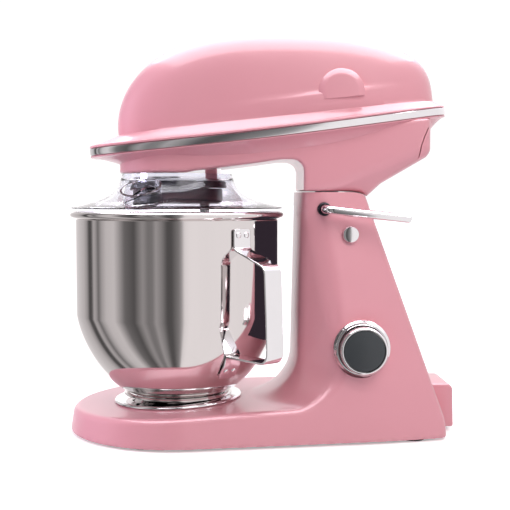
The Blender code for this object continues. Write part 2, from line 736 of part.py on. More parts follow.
def housing_plan(inset):
    """Plan of the lower shell: a round nose and straight sides."""
    half, corner, rear = HOUSING_HALF - inset, 0.018 - inset, 0.2611 - inset
    angles = [math.radians(-90 + 15 * k) for k in range(13)]
    nose = [(-(0.0596 - inset) * math.cos(a), half * math.sin(a)) for a in angles]
    far = arc((rear - corner, half - corner), corner, 90, 0, 4)
    near = arc((rear - corner, -half + corner), corner, 0, -90, 4)
    return nose + far + near


def housing_block(name, inset, low, high, top, finish=None):
    block = prism(name, housing_profile(inset, top), -0.07, 0.07, finish, "Y")
    plan = prism(f"plan_{name}", housing_plan(inset), low, high)
    return combine(block, plan, "INTERSECT")


def dish_rings(low_inset):
    lip = -BAND_HEIGHT / 2 - GAP
    rings = [plan_ring(lip, 0.0, 0.0006), plan_ring(lip - 0.0014, 0.0, 0.0012)]
    for share in (0.35, 0.7, 1.0):
        rings.append(plan_ring(lip - 0.0014 - 0.0120 * share ** 1.5, share, 0.0012, low_inset))
    return rings


def make_head_housing(finish):
    shell = loft("head_housing", dish_rings(0.004), finish)
    body = housing_block("add_body", 0.0, 0.20, 0.40, -0.007)
    join(shell, body)
    inner = housing_block("cut_body", WALL, 0.20, 0.40, 0.02)
    cut(shell, inner)
    join(shell, disc_stack("add_hub_seat", [(0.0488, 0.2695), (0.0488, HUB_SEAT)]))
    cut(shell, disc_stack("cut_hub", [(HUB_RADIUS + GAP, 0.25), (HUB_RADIUS + GAP, 0.28)]))
    cut(shell, box("cut_tongue", (0.1420, -BRACKET_HALF - GAP, 0.24), (0.1655, BRACKET_HALF + GAP, 0.252)))
    slot = box("cut_rear", (0.2585, -0.024, 0.2935), (0.27, 0.024, 0.3095))
    cut(shell, slot)
    return shell


def make_rear_panel(finish):
    """A vented plate set into the back of the head."""
    panel = box("rear_panel", (0.2588, -0.0237, 0.2938), (0.2606, 0.0237, 0.3092), finish)
    for index in range(5):
        y = -0.016 + 0.008 * index
        cut(panel, box(f"cut_vent_{index + 1}", (0.25, y - 0.0014, 0.2970), (0.27, y + 0.0014, 0.3060)))
    return panel


def make_side_bosses(finish):
    """Round covers low on the dome's flanks, one on each side, that lean with the shell."""
    for name, side in (("side_boss_left", 1), ("side_boss_right", -1)):
        profile = [(BOSS_RADIUS, -0.0080), (BOSS_RADIUS, 0.0015), (BOSS_RADIUS - 0.0035, 0.0032)]
        place_boss(disc_stack(name, profile, finish, sides=24), side)


def place_boss(piece, side):
    """Stands a cover, or the hole that it plugs, on one flank of the dome."""
    turn = Matrix.Rotation(side * (math.radians(90) - BOSS_LEAN), 4, "X")
    middle = (BOSS_X, -side * BOSS_Y, plane_z(BOSS_X, BOSS_V))
    piece.data.transform(Matrix.Translation(middle) @ turn)
    return piece


def make_hinge_bracket(finish):
    """The tongue under the neck that turns on the hinge pin."""
    bracket = rod_along_y("hinge_bracket", 0.013, -BRACKET_HALF, BRACKET_HALF, PIVOT, 20, finish)
    web = [(0.1605, 0.2040), (0.1430, 0.2515), (0.1620, 0.2515), (0.1765, 0.2100)]
    join(bracket, prism("add_web", web, -BRACKET_HALF + 0.001, BRACKET_HALF - 0.001, None, "Y"))
    join(bracket, box("add_plate", (0.1340, -0.040, 0.2491), (0.1720, 0.040, 0.2540)))
    cut(bracket, rod_along_y("cut_bracket", PIN_RADIUS + GAP, -0.05, 0.05, PIVOT, 16))
    return bracket


# ---------------------------------------------------------------- drive and tool


def tooth_outline(teeth, pitch_radius, inward, phase):
    """(angle, radius) round a gear, with four points to a tooth. Inward teeth point to the middle."""
    tip, root = (-0.8, 1.1) if inward else (0.8, -1.1)
    slack = 0.00025
    half_pitch = math.pi * GEAR_MODULE / 4 - slack
    points = []
    for index in range(teeth):
        middle = phase + 2 * math.pi * index / teeth
        for share, side in ((root, -1), (tip, -1), (tip, 1), (root, 1)):
            radius = pitch_radius + share * GEAR_MODULE
            thinning = share * GEAR_MODULE * math.tan(math.radians(22))
            width = half_pitch + thinning if inward else half_pitch - thinning
            points.append((middle + side * width / pitch_radius, radius))
    return points


def gear(name, teeth, inward, other_radius, low, high, centre, finish):
    phase = math.pi / teeth if inward else 0.0
    rings = []
    for angle, radius in tooth_outline(teeth, teeth * GEAR_MODULE / 2, inward, phase):
        c, s = math.cos(angle), math.sin(angle)
        corners = ((radius, low), (radius, high), (other_radius, high), (other_radius, low))
        rings.append([(centre + r * c, r * s, z) for r, z in corners])
    return loft(name, rings, finish, closed=True)


def make_hub(finishes):
    flange = HUB_SEAT + GAP
    inner, outer = HUB_RADIUS - 0.0030, HUB_RADIUS + 0.0035
    profile = [(HUB_RADIUS, 0.2563), (HUB_RADIUS, flange), (outer, flange), (outer, flange + 0.0030)]
    turned("hub_ring", profile + [(inner, flange + 0.0030), (inner, 0.2563)], finishes["chrome"])
    gear("ring_gear", RING_TEETH, True, inner - 2 * GAP, 0.2572, 0.2665, 0.0, finishes["nylon"])
    low, high = CARRIER_Z[1] + RUN, 0.2560
    bore = CARRIER_RADIUS - 0.003
    profile = [(bore, low), (COLLAR_RADIUS, low), (COLLAR_RADIUS, high), (bore, high)]
    turned("guard_collar", profile, finishes["black"])


def make_carrier(finishes):
    low, high = CARRIER_Z
    profile = [(CARRIER_RADIUS - 0.0030, low), (CARRIER_RADIUS, low + 0.0025), (CARRIER_RADIUS, high)]
    carrier = disc_stack("planet_carrier", profile, finishes["black"])
    cut(carrier, disc_stack("cut_shaft", [(0.0063, low + 0.003), (0.0063, high + 0.01)], sides=16))
    bore = [(0.0053, low - 0.01), (0.0053, high + 0.01)]
    cut(carrier, disc_stack("cut_tool", bore, None, (TOOL_OFFSET, 0.0), 16))
    disc_stack("main_shaft", [(0.0060, low + 0.0033), (0.0060, 0.3060)], finishes["alloy"], sides=16)
    low, high = PULLEY_Z
    profile = [(0.0063, low), (MAIN_PULLEY_RADIUS, low), (MAIN_PULLEY_RADIUS, high), (0.0063, high)]
    turned("main_pulley", profile, finishes["nylon"], sides=32)


def make_tool(finishes):
    centre = (TOOL_OFFSET, 0.0)
    profile = [(0.0042, 0.1865), (0.0050, 0.1880), (0.0050, 0.2670)]
    shaft = disc_stack("tool_shaft", profile, finishes["alloy"], centre, 16)
    origin_to(shaft, (TOOL_OFFSET, 0.0, 0.0))
    gear("planet_gear", PLANET_TEETH, False, 0.0053, 0.2575, 0.2660, TOOL_OFFSET, finishes["nylon"])
    half = [(0.009, 0.051), (0.018, 0.056), (0.034, 0.078), (0.048, 0.105), (0.052, 0.130)]
    half += [(0.040, 0.158), (0.010, 0.176)]
    outline = [(TOOL_OFFSET + x, z) for x, z in half] + [(TOOL_OFFSET - x, z) for x, z in reversed(half)]
    beater = prism("beater", outline, -0.003, 0.003, finishes["alloy"], "Y")
    window = [(0.005, 0.062), (0.013, 0.065), (0.026, 0.083), (0.038, 0.107), (0.042, 0.127)]
    window += [(0.033, 0.148), (0.005, 0.163)]
    for name, side in (("cut_left", -1), ("cut_right", 1)):
        cut(beater, prism(name, [(TOOL_OFFSET + side * x, z) for x, z in window], -0.01, 0.01, None, "Y"))
    socket = [(0.0075, 0.168), (0.0090, 0.172), (0.0090, 0.200)]
    join(beater, disc_stack("add_socket", socket, None, centre, 16))
    cut(beater, disc_stack("cut_socket", [(0.0053, 0.1862), (0.0053, 0.21)], None, centre, 16))


def make_motor(finishes):
    centre = (MOTOR_X, 0.0)
    case = [(0.040, 0.3071), (0.040, 0.3095), (0.036, 0.3095), (0.036, 0.3780)]
    case += [(0.0048, 0.3780), (0.0048, 0.3745)]
    turned("motor_case", case + [(0.0265, 0.3745), (0.0265, 0.3071)], finishes["alloy"], centre, 28)
    shaft = [(0.0040, 0.2915), (0.0040, 0.3180), (0.0245, 0.3180)]
    shaft += [(0.0245, 0.3660), (0.0040, 0.3660), (0.0040, 0.3795)]
    armature = disc_stack("armature", shaft, finishes["copper"], centre, 20)
    origin_to(armature, (MOTOR_X, 0.0, 0.0))
    low, high = PULLEY_Z
    profile = [(0.0043, low), (MOTOR_PULLEY_RADIUS, low), (MOTOR_PULLEY_RADIUS, high), (0.0043, high)]
    turned("motor_pulley", profile, finishes["nylon"], centre, 20)


def make_drive_belt(finish):
    """A flat loop round both pulleys, with straight runs between them."""
    wrap = math.degrees(math.acos((MAIN_PULLEY_RADIUS - MOTOR_PULLEY_RADIUS) / MOTOR_X))
    low, high = PULLEY_Z[0] + 0.0010, PULLEY_Z[1] - 0.0010
    inner, outer = RUN, RUN + 0.0018

    def loop(off):
        big = arc((0.0, 0.0), MAIN_PULLEY_RADIUS + off, wrap, 360 - wrap, 19)
        return big + arc((MOTOR_X, 0.0), MOTOR_PULLEY_RADIUS + off, -wrap, wrap, 9)

    rings = []
    for near, far in zip(loop(inner), loop(outer)):
        rings.append([(*near, low), (*far, low), (*far, high), (*near, high)])
    return loft("drive_belt", rings, finish, closed=True)


def make_gear_frame(finishes):
    """The plate inside the head that carries the main shaft and the motor."""
    low, high = 0.2840, 0.2880
    frame = box("gear_frame", (-0.028, -0.040, low), (0.160, 0.040, high), finishes["alloy"])
    join(frame, disc_stack("add_boss", [(0.0155, 0.2735), (0.0155, 0.2900)], sides=24))
    cut(frame, disc_stack("cut_boss", [(0.0113, 0.27), (0.0113, 0.30)], sides=20))
    for index, (dx, y) in enumerate(((-0.028, 0.030), (-0.028, -0.030), (0.028, 0.030), (0.028, -0.030)), 1):
        post = [(0.004, high - 0.001), (0.004, 0.3068)]
        join(frame, disc_stack(f"add_motor_post_{index}", post, None, (MOTOR_X + dx, y), 10))
    legs = [(x, y, foot) for x, foot in ((0.060, 0.2763), (0.148, 0.2543)) for y in (0.035, -0.035)]
    for index, (x, y, foot) in enumerate(legs, 1):
        join(frame, disc_stack(f"add_leg_{index}", [(0.004, foot), (0.004, low + 0.001)], None, (x, y), 10))
    for name, base in (("shaft_bearing_lower", 0.2745), ("shaft_bearing_upper", 0.2825)):
        profile = [(0.0110, base), (0.0110, base + 0.006), (0.0063, base + 0.006), (0.0063, base)]
        turned(name, profile, finishes["steel"], sides=20)


def make_splash_guard(finish):
    """A clear cone over the bowl that hangs from the collar, with a pouring chute on its front left."""
    outer = [(0.1090, 0.2282), (0.1090, 0.2298), (0.0850, 0.2407)]
    outer += [(0.0665, 0.2490), (0.0585, 0.2570), (0.0565, 0.2632)]
    inner = [(0.0550, 0.2632), (0.0560, 0.2578), (HUB_RADIUS + RUN, 0.2578), (HUB_RADIUS + RUN, 0.2563)]
    inner += [(0.0570, 0.2563), (0.0650, 0.2477), (0.0840, 0.2393), (0.1040, 0.2298), (0.1040, 0.2282)]
    guard = turned("splash_guard", outer + inner, finish, sides=28)
    angle, lean = math.radians(-113), math.radians(24)
    place = Matrix.Rotation(angle, 4, "Z") @ Matrix.Translation((0.0760, 0.0, 0.2450))
    place = place @ Matrix.Rotation(lean, 4, "Y")
    tube = disc_stack("add_chute", [(0.0165, -0.010), (0.0185, 0.0115)], sides=20)
    bore = disc_stack("cut_chute", [(0.0148, -0.030), (0.0172, 0.020)], sides=20)
    for piece in (tube, bore):
        piece.data.transform(place)
    join(guard, tube)
    return cut(guard, bore)


def main():
    clear_scene()
    finishes = make_materials()
    make_stand_casting(finishes["pink"])
    make_bottom_cover(finishes["black"])
    make_feet(finishes["rubber"])
    make_cover_screws(finishes["alloy"])
    make_bowl_seat(finishes["chrome"])
    make_rear_housing(finishes["pink"])
    make_power_inlet(finishes["black"])
    make_hinge(finishes)
    make_control_board(finishes["board"])
    make_potentiometer(finishes["black"])
    make_knob_bezel(finishes["chrome"])
    make_speed_knob(finishes)
    make_lock_lever(finishes)
    make_lock_cam(finishes["alloy"])
    make_bowl(finishes["steel"])
    make_bowl_foot(finishes["steel"])
    make_bowl_handle(finishes["steel"])
    make_rivets(finishes["steel"])
    make_head_cover(finishes["pink"])
    make_trim_band(finishes["chrome"])
    make_head_housing(finishes["pink"])
    make_rear_panel(finishes["pink"])
    make_side_bosses(finishes["pink"])
    make_hinge_bracket(finishes["alloy"])
    make_hub(finishes)
    make_carrier(finishes)
    make_tool(finishes)
    make_motor(finishes)
    make_drive_belt(finishes["rubber"])
    make_gear_frame(finishes)
    make_splash_guard(finishes["clear"])


main()
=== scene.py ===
"""Looks of the tilt-head stand mixer: fine surfaces, materials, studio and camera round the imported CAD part.

Frame: metres, +Z up, the bowl's axis is the Z axis, the table is the plane Z = 0, and the nose points to -X.
"""

import itertools
import json
from math import atan, atan2, copysign, cos, hypot, pi, radians, sin, sqrt, tan

import bmesh
import bpy
import numpy as np
from mathutils import Matrix, Vector


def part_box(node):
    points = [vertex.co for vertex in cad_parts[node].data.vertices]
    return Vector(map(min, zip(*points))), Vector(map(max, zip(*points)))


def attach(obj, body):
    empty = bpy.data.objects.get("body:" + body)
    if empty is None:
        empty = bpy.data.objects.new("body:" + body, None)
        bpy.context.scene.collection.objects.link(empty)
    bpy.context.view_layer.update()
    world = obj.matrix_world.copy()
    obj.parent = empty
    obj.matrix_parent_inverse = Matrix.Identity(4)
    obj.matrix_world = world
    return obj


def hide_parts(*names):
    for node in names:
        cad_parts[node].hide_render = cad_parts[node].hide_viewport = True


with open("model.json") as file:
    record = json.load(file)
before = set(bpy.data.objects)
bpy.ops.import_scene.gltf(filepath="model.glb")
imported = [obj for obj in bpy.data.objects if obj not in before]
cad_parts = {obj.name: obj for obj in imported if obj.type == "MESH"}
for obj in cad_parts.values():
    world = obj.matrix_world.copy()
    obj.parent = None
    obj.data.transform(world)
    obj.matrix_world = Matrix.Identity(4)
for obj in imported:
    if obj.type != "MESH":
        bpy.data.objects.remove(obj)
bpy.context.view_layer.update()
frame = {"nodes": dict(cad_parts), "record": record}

NODES = frame["nodes"]

# The casting's shapes, as the CAD has them
NOSE_RADIUS = 0.111
REAR_X = 0.268
BASE_TAPER = 0.13
CAST_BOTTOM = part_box("stand_casting")[0].z
BASE_TOP = 0.031
TOP_SLOPE = tan(radians(2.5))
COLUMN_TOP = 0.2448
FILLET = 0.045
PIVOT = (0.173, 0.203)
SEAM_RADIUS = 0.0418
KNOB = (0.182, 0.0925)
LEVER = (0.147, 0.228)

# The head's own sloping plane: u runs from nose to tail, v is square to it
HEAD_NOSE = (-0.0894, 0.289)
HEAD_SLOPE = radians(6.06)
BAND_LENGTH = 0.3674
BAND_HALF = 0.069
BAND_HEIGHT = 0.0074
DOME_START = 0.031
DOME_END = 0.356
DOME_HALF = 0.06
DOME_FOOT = 0.0115
BULLET = 2.7
BOSS = (0.163, 0.0268)  # the side boss: x, and height over the head's plane

# The bowl
BOWL_RADIUS = 0.1045
BOWL_WALL = 0.0012
RIM_Z = 0.222
BEAD_RADIUS = 0.0035
BOWL_SHOULDER_Z = 0.1215
BOWL_FLOOR_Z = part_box("bowl")[0].z
BOWL_FLOOR_RADIUS = 0.039
HANDLE_ANGLE = radians(-52.4)

ROUND = 160  # sides of a large turned piece


# ---------------------------------------------------------------- mesh helpers


def dress(obj, body, slot, replaced=None, angle=40, finish=None):
    """Gives a new mesh smooth shading, its slot's finish and its CAD body, and hides the CAD node that it
    stands for.
    """
    obj.data.materials.clear()
    obj.data.materials.append(FINISHES[finish or slot])
    obj.data.shade_smooth()
    obj.data.set_sharp_from_angle(angle=radians(angle))
    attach(obj, body)
    if replaced:
        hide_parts(replaced)


def link_new(name, data):
    obj = bpy.data.objects.new(name, data)
    bpy.context.scene.collection.objects.link(obj)
    return obj


def bmesh_object(name, made):
    bmesh.ops.recalc_face_normals(made, faces=made.faces)
    mesh = bpy.data.meshes.new(name)
    made.to_mesh(mesh)
    made.free()
    return link_new(name, mesh)


def loft(name, rings, closed=False):
    """Skins rings that have the same number of points."""
    made = bmesh.new()
    rows = [[made.verts.new(point) for point in ring] for ring in rings]
    count = len(rows[0])
    pairs = list(zip(rows, rows[1:]))
    if closed:
        pairs.append((rows[-1], rows[0]))
    for low, high in pairs:
        for i in range(count):
            j = (i + 1) % count
            made.faces.new((low[i], low[j], high[j], high[i]))
    if not closed:
        made.faces.new(rows[0])
        made.faces.new(rows[-1])
    return bmesh_object(name, made)


def turned(name, profile, sides=ROUND, centre=(0.0, 0.0), bore=False):
    """Turns (radius, height) points about a vertical axis. With a bore the profile is a closed outline."""
    angles = [2 * pi * i / sides for i in range(sides)]
    turns = [(cos(a), sin(a)) for a in angles]
    if bore:
        rings = [[(centre[0] + r * c, centre[1] + r * s, z) for r, z in profile] for c, s in turns]
        return loft(name, rings, closed=True)
    rings = [[(centre[0] + r * c, centre[1] + r * s, z) for c, s in turns] for r, z in profile]
    return loft(name, rings)


def arc(centre, radius, start_deg, end_deg, count):
    """Points on an arc, both ends included."""
    span = end_deg - start_deg
    angles = (radians(start_deg + span * i / (count - 1)) for i in range(count))
    return [(centre[0] + radius * cos(a), centre[1] + radius * sin(a)) for a in angles]


def eased(points, radius, steps=5, closed=True):
    """Rounds the corners of an outline or a route, each by less than half of its shorter side."""
    made = []
    last = len(points)
    for i, (x, y) in enumerate(points):
        if not closed and i in (0, last - 1):
            made.append((x, y))
            continue
        here = Vector((x, y))
        before, after = Vector(points[i - 1]) - here, Vector(points[(i + 1) % last]) - here
        reach = min(radius, before.length / 2.2, after.length / 2.2)
        start, end = here + before.normalized() * reach, here + after.normalized() * reach
        for k in range(steps + 1):
            t = k / steps
            point = start * (1 - t) ** 2 + here * (2 * t * (1 - t)) + end * t ** 2
            made.append((point.x, point.y))
    return made


def prism(name, outline, low, high, axis="Z"):
    """Extrudes a closed outline: (x, y) on axis Z, and (x, z) on axis Y."""
    if axis == "Z":
        rings = [[(x, y, level) for x, y in outline] for level in (low, high)]
    else:
        rings = [[(x, level, z) for x, z in outline] for level in (low, high)]
    return loft(name, rings)


def lay_along_y(obj, place):
    """Swings a piece turned about Z so that its axis runs along -Y through place, an (x, z) point."""
    swing = Matrix.Rotation(radians(90), 4, "X")
    obj.data.transform(Matrix.Translation((place[0], 0.0, place[1])) @ swing)
    return obj


def add_block(made, middle, size):
    place = Matrix.Translation(middle) @ Matrix.Diagonal((*size, 1.0))
    bmesh.ops.create_cube(made, size=1.0, matrix=place)


def apply_modifiers(obj):
    graph = bpy.context.evaluated_depsgraph_get()
    mesh = bpy.data.meshes.new_from_object(obj.evaluated_get(graph))
    obj.modifiers.clear()
    obj.data = mesh
    return obj


def carve(obj, *cutters, operation="DIFFERENCE"):
    """Applies Booleans and deletes their cutters."""
    for cutter in cutters:
        step = obj.modifiers.new("carve", "BOOLEAN")
        step.operation = operation
        step.solver = "EXACT"
        step.object = cutter
        apply_modifiers(obj)
        bpy.data.objects.remove(cutter)
    return obj


def bevelled(obj, width, segments=3, angle=30):
    """Rounds the sharp edges of a coarse mesh, and keeps the result."""
    step = obj.modifiers.new("bevel", "BEVEL")
    step.width = width
    step.segments = segments
    step.limit_method = "ANGLE"
    step.angle_limit = radians(angle)
    step.use_clamp_overlap = True
    return apply_modifiers(obj)


# ---------------------------------------------------------------- shapes given by a distance field


def rounded_both(a, b, radius):
    """Distance to what is inside both shapes, with the edge between them rounded."""
    u, v = np.maximum(a + radius, 0), np.maximum(b + radius, 0)
    return np.minimum(np.maximum(a, b), -radius) + np.hypot(u, v)


def rounded_either(a, b, radius):
    """Distance to what is inside either shape, with a fillet between them."""
    return -rounded_both(-a, -b, radius)


def outline_distance(points, a, b):
    """Distance in a plane to a closed outline, negative inside."""
    best = np.full(np.broadcast(a, b).shape, np.inf)
    inside = np.zeros(best.shape, bool)
    for (a0, b0), (a1, b1) in zip(points, points[1:] + points[:1]):
        ea, eb = a1 - a0, b1 - b0
        share = np.clip(((a - a0) * ea + (b - b0) * eb) / (ea * ea + eb * eb), 0, 1)
        best = np.minimum(best, np.hypot(a - a0 - share * ea, b - b0 - share * eb))
        if eb:
            inside ^= ((b0 > b) != (b1 > b)) & (a < a0 + (b - b0) / eb * ea)
    return np.where(inside, -best, best)


def slope_of(field, points, reach=2e-4):
    """The field's gradient at each point."""
    parts = []
    for axis in range(3):
        ahead, behind = points.copy(), points.copy()
        ahead[:, axis] += reach
        behind[:, axis] -= reach
        parts.append((field(*ahead.T) - field(*behind.T)) / (2 * reach))
    return np.stack(parts, axis=1)


def settle(field, points, step, rounds):
    """Moves points onto the surface where the field is zero."""
    for _ in range(rounds):
        slope = slope_of(field, points)
        size = np.maximum((slope ** 2).sum(axis=1), 1e-3)
        move = -(field(*points.T) / size)[:, None] * slope
        length = np.maximum(np.linalg.norm(move, axis=1, keepdims=True), 1e-12)
        points = points + move * np.minimum(1, step / length)
    return points


def skin(name, field, low, high, step):
    """A quad mesh on the zero surface of a field: one point in each grid cell that the surface crosses."""
    axes = [np.arange(a - 1.5 * step, b + 2.5 * step, step) for a, b in zip(low, high)]
    grid = np.meshgrid(*axes, indexing="ij", sparse=True)
    shape = tuple(len(axis) for axis in axes)
    inside = np.broadcast_to(field(*grid), shape) < 0
    cells = tuple(n - 1 for n in shape)
    count = np.zeros(cells, np.int8)
    for i, j, k in itertools.product((0, 1), repeat=3):
        count += inside[i : i + cells[0], j : j + cells[1], k : k + cells[2]]
    crossed = (count > 0) & (count < 8)
    index = np.full(cells, -1)
    index[crossed] = np.arange(crossed.sum())
    where = np.argwhere(crossed)
    points = np.stack([axes[n][where[:, n]] for n in range(3)], axis=1) + step / 2
    quads = []
    for axis in range(3):
        u, v = (axis + 1) % 3, (axis + 2) % 3
        count = shape[axis]
        first = inside.take(range(count - 1), axis)
        change = first != inside.take(range(1, count), axis)
        edges = np.argwhere(change)
        around = []
        for du, dv in ((1, 1), (0, 1), (0, 0), (1, 0)):
            cell = edges.copy()
            cell[:, u] -= du
            cell[:, v] -= dv
            around.append(index[tuple(cell.T)])
        quad = np.stack(around, axis=1)
        turned_over = ~first[change]
        quad[turned_over] = quad[turned_over][:, ::-1]
        quads.append(quad)
    quads = np.concatenate(quads)
    points = settle(field, points, step, 3)
    ends = np.concatenate([quads[:, [0, 1]], quads[:, [1, 2]], quads[:, [2, 3]], quads[:, [3, 0]]])
    weight = np.bincount(ends[:, 0], minlength=len(points))[:, None]
    for _ in range(3):
        near = points[ends[:, 1]]
        total = np.stack([np.bincount(ends[:, 0], near[:, n], len(points)) for n in range(3)], axis=1)
        points = settle(field, 0.5 * points + 0.5 * total / weight, step, 1)
    points = settle(field, points, step, 2)
    mesh = bpy.data.meshes.new(name)
    mesh.from_pydata(points.tolist(), [], quads.tolist())
    mesh.update()
    return link_new(name, mesh)


# ---------------------------------------------------------------- materials


def add_node(tree, kind, links=(), **values):
    """Adds a shader node. Links are (input, the output that feeds it). Among the values a lower-case name is
    a setting of the node's own and comes first, and any other is an input."""
    node = tree.nodes.new("ShaderNode" + kind)
    for name, value in values.items():
        if name.islower():
            setattr(node, name, value)
        else:
            node.inputs[name.replace("_", " ")].default_value = value
    for name, source in links:
        tree.links.new(source, node.inputs[name])
    return node


def noise_of(tree, scale, detail, stretch):
    """Noise in the part's own metres, drawn out along an axis where stretch is below one."""
    place = add_node(tree, "TexCoord").outputs["Object"]
    mapping = add_node(tree, "Mapping", [("Vector", place)], Scale=stretch).outputs["Vector"]
    noise = add_node(tree, "TexNoise", [("Vector", mapping)], Scale=scale, Detail=detail)
    return noise.outputs["Fac"]


def surface(name, colour, roughness, metallic=0.0, tint=0.03, patch=12.0, grain=600.0, depth=0.00002,
            stretch=(1.0, 1.0, 1.0), fixed=()):
    """A Principled material with clouded colour, uneven roughness and a fine bumpy grain."""
    made = bpy.data.materials.new(name)
    made.use_nodes = True
    tree = made.node_tree
    shader = tree.nodes["Principled BSDF"]
    for socket, value in (("Metallic", metallic), *fixed):
        shader.inputs[socket].default_value = value
    dull, bright = ((*(min(c * share, 1.0) for c in colour), 1.0) for share in (1 - tint, 1 + tint))
    cloud = [("Factor", noise_of(tree, patch, 3.0, stretch))]
    mix = add_node(tree, "Mix", cloud, data_type="RGBA", A=dull, B=bright)
    tree.links.new(mix.outputs["Result"], shader.inputs["Base Color"])
    least, most = roughness
    rough = [("Value", noise_of(tree, 3.1 * patch, 4.0, stretch))]
    rough = add_node(tree, "MapRange", rough, From_Min=0.3, From_Max=0.7, To_Min=least, To_Max=most)
    tree.links.new(rough.outputs["Result"], shader.inputs["Roughness"])
    if depth:
        height = [("Height", noise_of(tree, grain, 2.0, stretch))]
        bump = add_node(tree, "Bump", height, Strength=0.6, Distance=depth)
        tree.links.new(bump.outputs["Normal"], shader.inputs["Normal"])
    return made


COAT = (("Coat Weight", 0.45), ("Coat Roughness", 0.12))
CLEARNESS = (("Transmission Weight", 1.0), ("IOR", 1.3), ("Specular IOR Level", 0.05))
LOOKS = {  # of each material slot: colour, roughness from and to, and what differs from surface's defaults
    "pink_enamel": (
        (0.74, 0.325, 0.375), (0.3, 0.33),
        dict(tint=0.006, patch=5.0, grain=420.0, depth=0.000012, fixed=COAT),
    ),
    "chrome_trim": ((0.86, 0.85, 0.86), (0.035, 0.08), dict(metallic=1.0, tint=0.02, patch=60.0, depth=0.0)),
    "polished_steel": (
        (0.74, 0.7, 0.69), (0.05, 0.09),
        dict(metallic=1.0, tint=0.03, patch=70.0, grain=900.0, depth=0.000003, stretch=(1.0, 1.0, 0.03)),
    ),
    "black_plastic": ((0.006, 0.005, 0.011), (0.28, 0.38), dict(tint=0.2, grain=1500.0)),
    "clear_plastic": ((0.91, 0.91, 0.95), (0.02, 0.04), dict(tint=0.01, depth=0.0, fixed=CLEARNESS)),
    "black_rubber": ((0.025, 0.025, 0.027), (0.65, 0.85), dict(tint=0.2, grain=1800.0, depth=0.00005)),
    "knob_dark": ((0.042, 0.049, 0.053), (0.3, 0.4), dict(tint=0.15, grain=2400.0)),
    "alloy": (
        (0.46, 0.46, 0.47), (0.34, 0.52),
        dict(metallic=1.0, tint=0.08, patch=40.0, grain=800.0, depth=0.00006),
    ),
    "circuit_board": ((0.02, 0.15, 0.07), (0.38, 0.5), dict(tint=0.15, patch=90.0)),
    "wound_core": (
        (0.5, 0.24, 0.11), (0.3, 0.45),
        dict(metallic=1.0, tint=0.15, patch=50.0, grain=60.0, depth=0.0006, stretch=(1.0, 1.0, 14.0)),
    ),
    "nylon": ((0.74, 0.72, 0.66), (0.42, 0.55), dict(tint=0.05, grain=900.0, depth=0.00004)),
}
FINISHES = {name: surface(name, colour, rough, **more) for name, (colour, rough, more) in LOOKS.items()}


def dress_cad_nodes():
    """Gives every CAD node the fine version of its own slot's material."""
    for part in frame["record"]["subparts"]:
        finishes = NODES[part["node"]].data.materials
        finishes.clear()
        finishes.append(FINISHES[part["material_slot"]])


# ---------------------------------------------------------------- stand


SIDE_DRAFT = 0.163  # how far the sides lean in for each metre of height
FRONT_MIDDLE = 0.1215  # x of the column's bowed front where it is highest
FRONT_BOW = 0.177  # radius of that bow
FRONT_LEAN = 0.024
FACET_Y = 0.045
FACET_TURN = radians(39.7)
CROWN_SPARE = 0.002  # left above the column's top for the crown's cut
REAR_PANEL = 0.029  # width of the soft panel along the column's rear edge
REAR_TURN = radians(12)
REAR_TOP = (0.191, 0.239)
REAR_FOOT = (0.268, 0.017)


def stand_side(x, y, z):
    """Distance to the stand's sides: a round nose, then straight tapering sides, all leaning in."""
    turn = atan(BASE_TAPER)
    straight = np.abs(y) * cos(turn) + x * sin(turn) - NOSE_RADIUS
    nose = np.hypot(x, y) - NOSE_RADIUS
    plan = np.where(x * cos(turn) > np.abs(y) * sin(turn), straight, nose)
    return (plan + SIDE_DRAFT * z) / hypot(1, SIDE_DRAFT)


def stand_field(x, y, z):
    lean = FRONT_LEAN * (COLUMN_TOP - z)
    bow = np.hypot(x - (FRONT_MIDDLE - lean + FRONT_BOW), y) - FRONT_BOW
    edge_x = FRONT_MIDDLE - lean + FACET_Y ** 2 / (2 * FRONT_BOW)
    facet = (np.abs(y) - FACET_Y) * cos(FACET_TURN) - (x - edge_x) * sin(FACET_TURN)
    column = rounded_both(bow, facet, 0.004)
    deck = z - BASE_TOP - TOP_SLOPE * x
    shape = rounded_either(column, deck, FILLET)
    side = stand_side(x, y, z)
    soft = 0.0055 + 0.007 * np.clip((z - 0.07) / 0.08, 0, 1)
    shape = rounded_both(shape, side, soft)
    rake = hypot(REAR_FOOT[0] - REAR_TOP[0], REAR_TOP[1] - REAR_FOOT[1])
    normal = ((REAR_TOP[1] - REAR_FOOT[1]) / rake, (REAR_FOOT[0] - REAR_TOP[0]) / rake)
    rear = (x - REAR_TOP[0]) * normal[0] + (z - REAR_TOP[1]) * normal[1]
    panel = (rear + REAR_PANEL) * sin(REAR_TURN) + side * cos(REAR_TURN)
    shape = rounded_both(shape, panel, 0.01)
    shape = rounded_both(shape, rounded_both(rear, x - REAR_X, 0.003), 0.0065)
    return np.maximum(rounded_both(shape, CAST_BOTTOM - z, 0.0016), z - COLUMN_TOP - CROWN_SPARE)


